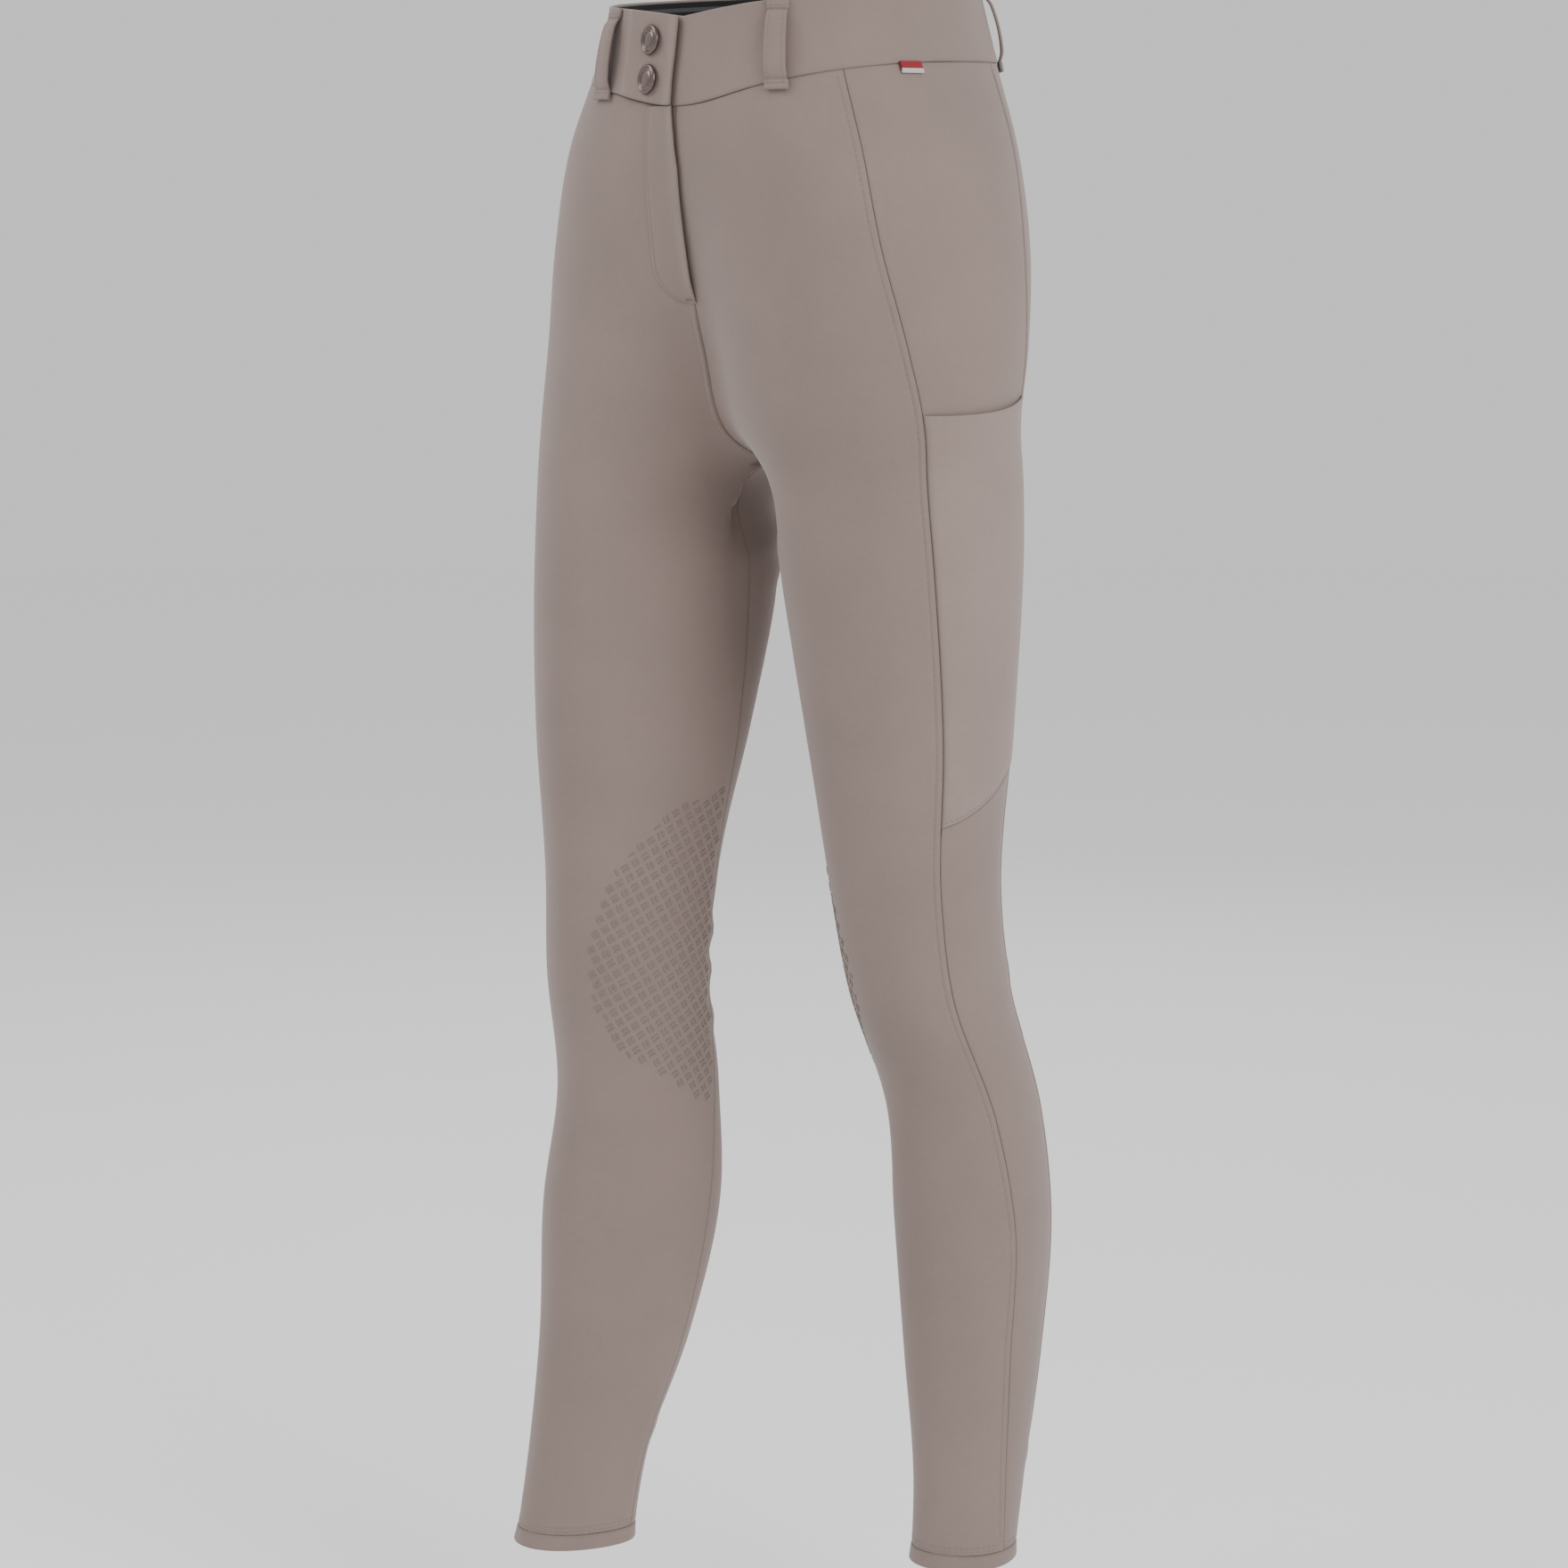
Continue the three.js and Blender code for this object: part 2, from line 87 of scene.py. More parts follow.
POCKET_WALL = 1.3
POCKET_MOUTH = -238
POCKET_FOOT = -492
POCKET_MOUTH_RISE = 10
POCKET_FOOT_RISE = 35
POCKET_GAPE = 1.6
HEM_TOP = -962
HEM_BOTTOM = -972
HEM_WALL = 2.4
HEM_FLARE = 1.2
STRIDE_BLEND = 40

# Floor, in metres across and in millimetres below the hems
FLOOR_RADIUS = 9.0
FLOOR_SIDES = 64
FLOOR_BELOW = 95

# Softboxes: name, azimuth, height, distance, size and power, in degrees, metres and watts
WORLD_LIGHT = 0.8
LAMP_AIM_HEIGHT = -0.3
LAMPS = [
    ("key", -38, 1.5, 1.9, 1.2, 34),
    ("side", 88, 0.55, 2.2, 1.4, 40),
    ("back", 215, 1.0, 2.8, 2.0, 12),
    ("far_side", 290, 0.6, 2.8, 2.0, 4),
]

SECTION_COLUMNS = ["height", "centre", "outside", "insideFront", "insideBack", "front", "back",
                   "soft", "power", "turn", "shiftLeft", "shiftRight"]
SECTIONS = [
    [40, 38, 66, 153, 154, 86, 91, 40, 2.38, 0, 0, 0],
    [-20, 48, 72, 146, 150, 91, 99, 40, 2.38, 0, 0, 0],
    [-80, 64, 88, 121, 140, 98, 95, 36, 2.28, 0, 0, 0],
    [-140, 74, 93, 89, 125, 95, 92, 31, 2.26, 0, 0, -4],
    [-200, 80, 93, 76, 110, 89, 87, 27, 2.14, 0, -1, -12],
    [-250, 81, 87, 71, 92, 83, 83, 21, 1.99, 0, 2, -28],
    [-280, 82, 82, 62, 62, 78, 81, 15, 1.97, 1, 9, -37],
    [-340, 81, 75, 59, 59, 76, 79, 10, 2.05, 9, 15, -45],
    [-440, 84, 62, 54, 54, 64, 69, 10, 2.08, 16, 22, -58],
    [-540, 90, 52, 47, 47, 53, 54, 6, 2.1, 17, 23, -60],
    [-600, 93, 49, 46, 46, 50, 52, 6, 2.1, 17, 33, -61],
    [-680, 97, 46, 44, 44, 44, 58, 6, 2.1, 19, 58, -57],
    [-750, 98, 47, 44, 44, 45, 67, 6, 2.1, 21, 64, -67],
    [-840, 98, 41, 39, 39, 40, 55, 6, 2.1, 21, 66, -78],
    [-920, 100, 34, 32, 32, 34, 41, 6, 2.1, 21, 62, -95],
    [-975, 100, 30, 30, 30, 34, 40, 6, 2.1, 21, 58, -106],
]

# Seam angles about the leg centre, in degrees from the front towards the outside
SEAM_COLUMNS = ["height", "sideFront", "sideBack", "inseam"]
SEAMS = [
    [40, 44, 137, -90],
    [-20, 45, 136, -90],
    [-80, 47, 126, -90],
    [-140, 50, 120, -90],
    [-200, 58, 121, -90],
    [-250, 64, 123, -90],
    [-280, 61, 123, -92],
    [-340, 55, 123, -108],
    [-440, 50, 120, -128],
    [-540, 47, 119, -142],
    [-600, 46, 120, -145],
    [-680, 54, 125, -145],
    [-750, 62, 128, -145],
    [-840, 61, 126, -145],
    [-920, 68, 128, -145],
    [-975, 80, 132, -145],
]

# Soft folds of the cloth. Heights and depths are in millimetres, angles in degrees about the leg.
FOLD_COLUMNS = ["side", "angle", "height", "spread", "width", "tilt", "depth"]
FOLDS = [
    [1, 185, -566, 48, 7, 0.10, 1.5],
    [1, 178, -592, 52, 8, -0.08, 1.7],
    [1, 186, -622, 44, 7, 0.06, 1.2],
    [-1, 183, -574, 50, 8, -0.10, 1.6],
    [-1, 178, -604, 50, 7, 0.08, 1.6],
    [-1, 186, -632, 42, 7, -0.05, 1.1],
    [1, 200, -318, 40, 8, -0.35, 1.5],
    [1, 196, -342, 36, 8, -0.30, 1.0],
    [-1, 200, -314, 40, 8, -0.35, 1.5],
    [-1, 194, -338, 36, 8, -0.30, 1.0],
    [1, -62, -312, 26, 8, -0.70, 0.6],
    [-1, -62, -306, 26, 8, -0.70, 0.6],
    [1, 170, -905, 60, 6, 0.05, 0.6],
    [-1, 170, -900, 60, 6, -0.05, 0.6],
]

# Lift of a panel by the distance in from its seam, where the edge is folded under and topstitched
STITCH_IN = 4.4
RIDGE = [(0, 0), (1, 0.5), (3.2, 0.6), (STITCH_IN, 0), (5.6, 0.15), (9, 0)]
NEAR_SEAM = [0, 0.12, 0.35, 0.8, 1.4, 2.3, 3.3, 3.9, STITCH_IN, 5.0, 6.3, 8.6]
NEAR_EDGE = [0, 0.12, 0.35, 0.8, 1.5, 3.0]
NEAR_CROTCH = [0, 0.05, 0.2, 0.45, 0.8, 1.25, 1.8, 2.45, 3.2, 4.1, 5.1, 6.3, 7.7, 9.3, 11.2, 13.5,
               16.2, 19.4]
ROW_STEP = 5
COLUMN_STEP = 5.5

# Knee print: pairs of short raised bars in a basket pattern, from the inseam to an edge on the front.
# The edge is given as heights and angles about the leg.
GRIP_EDGE = [[-478, -130], [-493, -90], [-505, -75], [-532, -54], [-553, -43], [-574, -37], [-607, -37],
             [-622, -45], [-646, -57], [-670, -100], [-685, -128]]
GRIP_PITCH = 7.2
GRIP_LENGTH = 4.7
GRIP_WIDTH = 1.4
GRIP_APART = 1.35
GRIP_HEIGHT = 0.45
GRIP_SLANT = 30
GRIP_CLEAR = 4
GRIP_REACH = 240
GRIP_MIDDLE = (60, -580)


def ease(value, low, high):
    t = np.clip((value - low) / (high - low), 0, 1)
    return t * t * (3 - 2 * t)


def smooth_table(columns, rows):
    """A smooth curve through each column of a table whose first column is a height."""
    rows = np.array(sorted(rows), float)
    heights = rows[:, 0]
    rise = np.diff(rows, axis=0) / np.diff(heights)[:, None]
    below = np.vstack([rise[:1], rise])
    above = np.vstack([rise, rise[-1:]])
    low = np.concatenate([heights[:1], heights[:-1]])
    high = np.concatenate([heights[1:], heights[-1:]])
    share = ((heights - low) / (high - low))[:, None]
    slopes = below * (1 - share) + above * share

    def at(height):
        z = np.clip(np.asarray(height, float), heights[0], heights[-1])
        i = np.clip(np.searchsorted(heights, z, side="right") - 1, 0, len(heights) - 2)
        span = (heights[i + 1] - heights[i])[..., None]
        t = (z - heights[i])[..., None] / span
        found = ((2 * t**3 - 3 * t**2 + 1) * rows[i] + (t**3 - 2 * t**2 + t) * span * slopes[i]
                 + (3 * t**2 - 2 * t**3) * rows[i + 1] + (t**3 - t**2) * span * slopes[i + 1])
        return {name: found[..., c] for c, name in enumerate(columns)}

    return at


section_at = smooth_table(SECTION_COLUMNS, SECTIONS)
seam_at = smooth_table(SEAM_COLUMNS, SEAMS)


# Surface of the worn cloth

def section_value(s, u, v):
    """Below zero inside the section, above zero outside; u and v are taken about the leg centre."""
    depth = (np.abs(v) / np.where(v < 0, s["front"], s["back"])) ** s["power"]
    inward = np.maximum(s["centre"] - np.hypot(s["centre"] + u, s["soft"]), 0)
    inside = inward / np.where(v < 0, s["insideFront"], s["insideBack"])
    return np.where(u >= 0, np.abs(u) / s["outside"], inside) ** s["power"] + depth - 1


def value_at(x, y, z):
    s = section_at(z)
    a = np.radians(s["turn"])
    dx = x - s["centre"]
    return section_value(s, dx * np.cos(a) + y * np.sin(a), y * np.cos(a) - dx * np.sin(a))


def edge_along(outside, far):
    """The distance from 0 to `far` at which `outside` turns positive."""
    low = np.zeros_like(far)
    high = far
    for _ in range(34):
        middle = (low + high) / 2
        beyond = outside(middle) > 0
        high = np.where(beyond, middle, high)
        low = np.where(beyond, low, middle)
    return (low + high) / 2


def leg_points(angle, z):
    """Points of the left half before the stride, at angles about the leg centre."""
    angle, z = np.broadcast_arrays(np.asarray(angle, float), np.asarray(z, float))
    s = section_at(z)
    across = np.sin(np.radians(angle))
    along = -np.cos(np.radians(angle))
    far = np.where(across < 0, np.minimum(s["centre"] / np.maximum(-across, 1e-6), 260), 260.0)
    r = edge_along(lambda d: section_value(s, d * across, d * along), far)
    a = np.radians(s["turn"])
    x = s["centre"] + r * (across * np.cos(a) - along * np.sin(a))
    y = r * (along * np.cos(a) + across * np.sin(a))
    return np.stack([np.maximum(x, 0), y, z], -1)


def waist_points(angle, z):
    """Points of the body at angles about the middle, for what runs round the waist."""
    angle, z = np.broadcast_arrays(np.asarray(angle, float), np.asarray(z, float))
    x = np.abs(np.sin(np.radians(angle)))
    y = -np.cos(np.radians(angle))
    r = edge_along(lambda d: value_at(d * x, d * y, z), np.full(x.shape, 260.0))
    return np.stack([r * x, r * y, z], -1)


def front_points(across, z):
    across, z = np.broadcast_arrays(np.asarray(across, float), np.asarray(z, float))
    x = np.abs(across)
    y = edge_along(lambda d: value_at(x, -d, z), np.full(x.shape, 260.0))
    return np.stack([x, -y, z], -1)


def stride_shift(x, z):
    s = section_at(z)
    middle = (s["shiftLeft"] + s["shiftRight"]) / 2
    return middle + (s["shiftLeft"] - s["shiftRight"]) / 2 * np.tanh(x / STRIDE_BLEND)


def dress(points, side, lift):
    """Puts points of the left half on a side, in the stride, `lift` out along the cloth's normal.
    Returns the points and the normals."""
    h = 0.05
    x, y, z = points[..., 0], points[..., 1], points[..., 2]
    slope = np.stack([
        side * (value_at(x + h, y, z) - value_at(x - h, y, z)),
        value_at(x, y + h, z) - value_at(x, y - h, z),
        value_at(x, y, z + h) - value_at(x, y, z - h),
    ], -1)
    own = side * x
    placed = np.stack([own, y + stride_shift(own, z), z], -1)
    slope[..., 0] -= slope[..., 1] * (stride_shift(own + h, z) - stride_shift(own - h, z)) / (2 * h)
    slope[..., 2] -= slope[..., 1] * (stride_shift(own, z + h) - stride_shift(own, z - h)) / (2 * h)
    slope /= np.linalg.norm(slope, axis=-1, keepdims=True)
    return placed + slope * np.asarray(lift, float)[..., None], slope


def around_waist(angle, z, lift):
    side = np.where(np.mod(angle, 360) > 180, -1.0, 1.0)
    return dress(waist_points(angle, z), side + np.zeros_like(z), lift)


def across_front(across, z, lift):
    return dress(front_points(across, z), np.where(across < 0, -1.0, 1.0) + np.zeros_like(z), lift)


def middle_angle(z, ahead):
    """Angles of the centre front, the centre back and the inseam about the leg centre."""
    s = section_at(z)
    inseam = seam_at(z)["inseam"] + (0 if ahead else 360)
    reach = (s["centre"] - s["soft"]) / s["insideFront" if ahead else "insideBack"]
    over = np.clip(reach, 0, 1) ** s["power"]
    depth = (1 - over) ** (1 / s["power"]) * s["front" if ahead else "back"]
    across = np.degrees(np.arctan2(-s["centre"], depth if ahead else -depth)) + (0 if ahead else 360)
    return np.where(reach >= 1, inseam, across)


def crotch_height(ahead):
    low, high = -300.0, -200.0
    for _ in range(40):
        middle = (low + high) / 2
        s = section_at(middle)
        closed = s["centre"] - s["soft"] >= s["insideFront" if ahead else "insideBack"]
        low, high = (middle, high) if closed else (low, middle)
    return high


def fold_lift(side, angle, z):
    lift = np.zeros(np.broadcast(angle, z).shape)
    for row in FOLDS:
        fold = dict(zip(FOLD_COLUMNS, row))
        if fold["side"] != side:
            continue
        away = np.mod(angle - fold["angle"] + 180, 360) - 180
        t = (z - fold["height"] - fold["tilt"] * away) / fold["width"]
        lift += fold["depth"] * np.exp(-((away / fold["spread"]) ** 2)) * (1 - t * t) * np.exp(-t * t / 2)
    return lift


def band_top(angle):
    return BAND_BACK_RISE * np.abs(np.sin(np.radians(angle) / 2))


def waist_seam(angle):
    away = np.mod(angle + 180, 360) - 180
    fall = np.exp(-((away / BAND_FALL_ANGLE) ** 2))
    return -BAND_SIDE_DEPTH - (BAND_FRONT_DEPTH - BAND_SIDE_DEPTH) * fall


def waist_angle(angle):
    p = leg_points(angle, -40.0)
    return np.degrees(np.arctan2(p[..., 0], -p[..., 1]))


def row_height(level, angle, reach):
    """Rows follow the waist seam at the top, and the pocket's mouth and lower seam."""
    under = waist_seam(waist_angle(angle)) + BAND_FRONT_DEPTH
    mouth = ease(level, -420, POCKET_MOUTH) * ease(-level, 120, -POCKET_MOUTH)
    foot = ease(level, -640, POCKET_FOOT) * ease(-level, 300, -POCKET_FOOT)
    return (level + ease(level, -150, -BAND_FRONT_DEPTH) * under
            + POCKET_MOUTH_RISE * reach**3 * mouth + POCKET_FOOT_RISE * reach**1.3 * foot)


# Grids and meshes

def steps_between(stops, step):
    """Values from the first stop to the last, fine beside each stop. A stop is (value, fine distances)."""
    found = [stops[0][0]]
    for (start, near_start), (end, near_end) in zip(stops, stops[1:]):
        way = 1 if end > start else -1
        room = abs(end - start)
        first = [d for d in near_start if 0 < d < room / 2]
        last = [room - d for d in reversed(near_end) if d < room / 2]
        low = first[-1] if first else 0
        count = max(int(round((last[0] - low) / step)), 1)
        middle = [low + (last[0] - low) * k / count for k in range(1, count)]
        found += [start + way * d for d in first + middle + last]
    return np.array(found)


def rounded(distance, half):
    """1 over the cloth, falling to 0 at a folded edge, as a half circle."""
    t = np.clip(distance / half, 0, 1)
    return np.sqrt(1 - (1 - t) ** 2)


def profile(distance, table):
    return np.interp(distance, [d for d, _ in table], [lift for _, lift in table])


def make_object(name, points, faces, material, marks=None):
    """A closed mesh whose faces all look outward. Faces come as arrays of quads or of triangles."""
    mesh = bpy.data.meshes.new(name)
    volume = 0.0
    for group in faces:
        for k in range(1, group.shape[1] - 1):
            corners = points[group[:, [0, k, k + 1]]]
            volume += np.einsum("ij,ij->", corners[:, 0], np.cross(corners[:, 1], corners[:, 2]))
    listed = [face for group in faces for face in (group if volume > 0 else group[:, ::-1]).tolist()]
    mesh.from_pydata((points * MM).tolist(), [], listed)
    for mark, values in (marks or {}).items():
        kind, field = ("FLOAT_VECTOR", "vector") if values.ndim == 2 else ("FLOAT", "value")
        attribute = mesh.attributes.new(mark, kind, "POINT")
        attribute.data.foreach_set(field, values.astype(np.float32).ravel())
    mesh.polygons.foreach_set("use_smooth", [True] * len(mesh.polygons))
    mesh.materials.append(material)
    mesh.update()
    obj = bpy.data.objects.new(name, mesh)
    bpy.context.scene.collection.objects.link(obj)
    return obj


def cloth_sheet(name, outer, inner, material, cloth_at, painted_shade, wrap=False):
    """A closed sheet of cloth. The two grids meet in one row of points round its edge."""
    rows, columns = outer.shape[:2]
    out = np.arange(rows * columns).reshape(rows, columns)
    rim = np.zeros((rows, columns), bool)
    rim[[0, -1], :] = True
    if not wrap:
        rim[:, [0, -1]] = True
    into = np.where(rim, out, 0)
    into[~rim] = rows * columns + np.arange((~rim).sum())
    if wrap:
        out = np.concatenate([out, out[:, :1]], 1)
        into = np.concatenate([into, into[:, :1]], 1)
    quads = [np.stack([g[:-1, :-1], g[1:, :-1], g[1:, 1:], g[:-1, 1:]], -1).reshape(-1, 4)
             for g in (out, into)]
    faces = [quads[0], quads[1][:, ::-1]]
    points = np.concatenate([outer.reshape(-1, 3), inner[~rim]])
    flat = np.dstack([cloth_at * MM, np.zeros(cloth_at.shape[:2])])
    marks = {
        "cloth_at": np.concatenate([flat.reshape(-1, 3), flat[~rim]]),
        # the painted_shade mark: how much painted shade each point takes, from 0 to 1
        "painted_shade": np.concatenate([painted_shade.ravel(), painted_shade[~rim]]),
    }
    return make_object(name, points, faces, material, marks)


def finish_piece(obj, slot, *nodes):
    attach(obj, "root")
    if nodes:
        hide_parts(*nodes)
    return obj


def panel_grid(side, start, end, reach_of, levels, near=NEAR_SEAM):
    """Shares, angles, heights and distances from the edges over a panel between two seams."""
    level = levels[:, None]
    sample = np.linspace(0, 1, 81)[None, :]

    def along(share):
        rough = start(level) * (1 - share) + end(level) * share
        z = row_height(level, rough, reach_of(share))
        return start(z) * (1 - share) + end(z) * share, z

    angle, z = along(sample)
    line, _ = dress(leg_points(angle, z), float(side), np.zeros(z.shape))
    run = np.linalg.norm(np.diff(line, axis=1), axis=-1)
    run = np.concatenate([np.zeros((len(levels), 1)), np.cumsum(run, 1)], 1)
    length = run[:, -1:]
    count = int(length.max() / COLUMN_STEP)
    near = np.array(near, float)[None, :]
    middle = near[:, -1:] + (length - 2 * near[:, -1:]) * np.linspace(0, 1, count + 1)[None, 1:-1]
    at = np.concatenate([np.repeat(near, len(levels), 0), middle, length - near[:, ::-1]], 1)
    share = np.stack([np.interp(a, r, sample[0]) for a, r in zip(at, run)])
    angle, z = along(share)
    return {"angle": angle, "z": z, "share": share, "from_start": at, "from_end": length - at,
            "level": np.broadcast_to(level, z.shape), "across": at - length / 2}


def side_front(z):
    return seam_at(z)["sideFront"]


def side_back(z):
    return seam_at(z)["sideBack"]


def centre_front(z):
    return middle_angle(z, True)


def centre_back(z):
    return middle_angle(z, False)


def thick_points(side, grid, middle_lift, half):
    """Outer and inner points of a sheet whose middle surface has the given lift, and its normals."""
    folds = fold_lift(side, grid["angle"], grid["z"])
    base, normal = dress(leg_points(grid["angle"], grid["z"]), float(side), folds + middle_lift)
    return base + normal * half[..., None], base - normal * half[..., None], normal


# Thread. A stitch is a short tube that dips into the cloth at both ends.
STITCH_RINGS = [(0, -0.22, 0.1), (0.2, 0.06, 0.22), (0.8, 0.06, 0.22), (1, -0.22, 0.1)]
STITCH_SIDES = 6
STITCH_ENDS = [[0, 1, 2, 3], [0, 3, 4, 5]]
STITCH_LENGTH = 2.7
STITCH_GAP = 0.9
sewn = {}


def sew(group, path, normals, lift=0.0, length=STITCH_LENGTH, gap=STITCH_GAP):
    """Keeps a line of topstitching for a group: a path on the cloth and the cloth's normals along it."""
    run = np.concatenate([[0], np.cumsum(np.linalg.norm(np.diff(path, axis=0), axis=1))])
    count = int(run[-1] / (length + gap))
    if count < 1:
        return
    pitch = run[-1] / count
    starts = np.arange(count) * pitch + pitch * gap / (length + gap) / 2
    turn = np.arange(STITCH_SIDES) * 2 * math.pi / STITCH_SIDES

    def along(values, at):
        return np.stack([np.interp(at, run, values[:, k]) for k in range(3)], -1)

    found = []
    for share, rise, radius in STITCH_RINGS:
        at = starts + share * pitch * length / (length + gap)
        out = along(normals, at)
        ahead = along(path, at + 0.4) - along(path, at - 0.4)
        across = np.cross(ahead / np.linalg.norm(ahead, axis=1, keepdims=True), out)
        middle = along(path, at) + out * (rise + lift)
        around = (out[:, None, :] * np.cos(turn)[None, :, None]
                  + across[:, None, :] * np.sin(turn)[None, :, None])
        found.append(middle[:, None, :] + radius * around)
    sewn.setdefault(group, []).append(np.stack(found, 1))


def capped_tubes(name, rings, ends, material):
    """Many short closed tubes in one mesh. `rings` holds, for each tube, rings of points."""
    tubes, count, n = rings.shape[:3]
    quads = [[r * n + k, (r + 1) * n + k, (r + 1) * n + (k + 1) % n, r * n + (k + 1) % n]
             for r in range(count - 1) for k in range(n)]
    quads += ends
    quads += [[v + (count - 1) * n for v in reversed(end)] for end in ends]
    base = np.arange(tubes)[:, None, None] * count * n
    faces = (np.array(quads)[None] + base).reshape(-1, 4)
    return make_object(name, rings.reshape(-1, 3), [faces], material)


def thread_pieces(material):
    """Makes one piece of thread for each group of stitches."""
    for group, found in sewn.items():
        obj = capped_tubes("thread_" + group, np.concatenate(found), STITCH_ENDS, material)
        finish_piece(obj, "cloth")


# Materials

def shader(name, roughness, sheen=0.0, metallic=0.0, specular=0.5):
    material = bpy.data.materials.new(name)
    material.use_nodes = True
    tree = material.node_tree
    surface = tree.nodes["Principled BSDF"]
    surface.inputs["Roughness"].default_value = roughness
    surface.inputs["Metallic"].default_value = metallic
    surface.inputs["Specular IOR Level"].default_value = specular
    surface.inputs["Sheen Weight"].default_value = sheen
    surface.inputs["Sheen Roughness"].default_value = 0.45
    return material, tree, surface


def add(tree, kind, **settings):
    """Adds a node. A setting that the node itself has is set on it. Any other is an input, to set or
    link, by its name or as _0, _1 and so on."""
    node = tree.nodes.new(kind)
    for key, value in settings.items():
        if hasattr(node, key):
            setattr(node, key, value)
            continue
        socket = node.inputs[int(key[1:])] if key[1:].isdigit() else node.inputs[key.replace("_", " ")]
        if isinstance(value, bpy.types.NodeSocket):
            tree.links.new(value, socket)
        else:
            socket.default_value = value
    return node


def srgb(red, green, blue):
    """A colour read as 0 to 255 on a screen, for a shader."""
    values = [c / 255 for c in (red, green, blue)]
    return tuple(c / 12.92 if c <= 0.04045 else ((c + 0.055) / 1.055) ** 2.4 for c in values) + (1.0,)


def blend_colours(tree, share, first, second):
    node = add(tree, "ShaderNodeMix", data_type="RGBA")
    for socket, value in ((node.inputs[0], share), (node.inputs[6], first), (node.inputs[7], second)):
        if isinstance(value, bpy.types.NodeSocket):
            tree.links.new(value, socket)
        else:
            socket.default_value = value
    return node.outputs[2]


def ramp(tree, value, low, high, start=0.0, end=1.0):
    node = add(tree, "ShaderNodeMapRange", Value=value)
    node.inputs["From Min"].default_value = low
    node.inputs["From Max"].default_value = high
    node.inputs["To Min"].default_value = start
    node.inputs["To Max"].default_value = end
    return node.outputs[0]


def math_of(tree, operation, first, second):
    return add(tree, "ShaderNodeMath", operation=operation, _0=first, _1=second).outputs[0]


TWILL_PITCH = 0.0006
FIBRE_SIZE = 0.0004


def cloth_material(name, light, dark, painted_shade_colour, weave=0.22, sheen=0.25, roughness=0.9):
    """Matt stretch cloth: a fine twill along the cloth, fibres, a soft mottle, and painted shade mixed in
    along seams, edges and folds.
    """
    material, tree, surface = shader(name, roughness, sheen, specular=0.25)
    place = add(tree, "ShaderNodeAttribute", attribute_name="cloth_at").outputs["Vector"]
    body = add(tree, "ShaderNodeTexCoord").outputs["Object"]
    painted_shade = add(tree, "ShaderNodeAttribute", attribute_name="painted_shade").outputs["Fac"]
    twill = add(tree, "ShaderNodeTexWave", wave_type="BANDS", bands_direction="DIAGONAL", Vector=place,
                Scale=2 * math.pi / 10 / TWILL_PITCH, Distortion=0.6, Detail=1.0).outputs["Fac"]
    fibre = add(tree, "ShaderNodeTexNoise", Vector=place, Scale=1 / FIBRE_SIZE, Detail=3.0).outputs["Fac"]
    slub = add(tree, "ShaderNodeTexNoise", Vector=place, Scale=260.0, Detail=3.0).outputs["Fac"]
    mottle = add(tree, "ShaderNodeTexNoise", Vector=body, Scale=14.0, Detail=3.0,
                 Roughness=0.55).outputs["Fac"]
    shade = math_of(tree, "ADD", ramp(tree, mottle, 0.3, 0.7, 0.0, 0.6),
                    ramp(tree, slub, 0.3, 0.7, 0.0, 0.25))
    shade = math_of(tree, "ADD", shade, ramp(tree, twill, 0.0, 1.0, 0.0, 0.15))
    colour = blend_colours(tree, shade, light, dark)
    # Painted shade: the cloth turns towards its third colour along seams, edges and folds, by the
    # painted_shade mark.
    colour = blend_colours(tree, painted_shade, colour, painted_shade_colour)
    tree.links.new(colour, surface.inputs["Base Color"])
    tree.links.new(ramp(tree, fibre, 0.2, 0.8, roughness - 0.06, min(roughness + 0.06, 1.0)),
                   surface.inputs["Roughness"])
    height = math_of(tree, "ADD", ramp(tree, twill, 0.0, 1.0, 0.0, 0.6),
                     ramp(tree, fibre, 0.2, 0.8, 0.0, 0.4))
    bump = add(tree, "ShaderNodeBump", Strength=weave, Distance=0.00025, Height=height)
    tree.links.new(bump.outputs[0], surface.inputs["Normal"])
    return material


def plain_material(name, light, dark, roughness, scale, bumpy, **settings):
    """A fine grain and a slight change of colour, for the print, caps, thread and floor."""
    material, tree, surface = shader(name, roughness, **settings)
    body = add(tree, "ShaderNodeTexCoord").outputs["Object"]
    grain = add(tree, "ShaderNodeTexNoise", Vector=body, Scale=scale, Detail=3.0).outputs["Fac"]
    patch = add(tree, "ShaderNodeTexNoise", Vector=body, Scale=40.0, Detail=2.0).outputs["Fac"]
    shade = math_of(tree, "ADD", ramp(tree, grain, 0.3, 0.7, 0.0, 0.5),
                    ramp(tree, patch, 0.3, 0.7, 0.0, 0.5))
    tree.links.new(blend_colours(tree, shade, light, dark), surface.inputs["Base Color"])
    tree.links.new(ramp(tree, grain, 0.2, 0.8, roughness - 0.06, roughness + 0.06),
                   surface.inputs["Roughness"])
    bump = add(tree, "ShaderNodeBump", Strength=bumpy, Distance=0.0002, Height=grain)
    tree.links.new(bump.outputs[0], surface.inputs["Normal"])
    return material


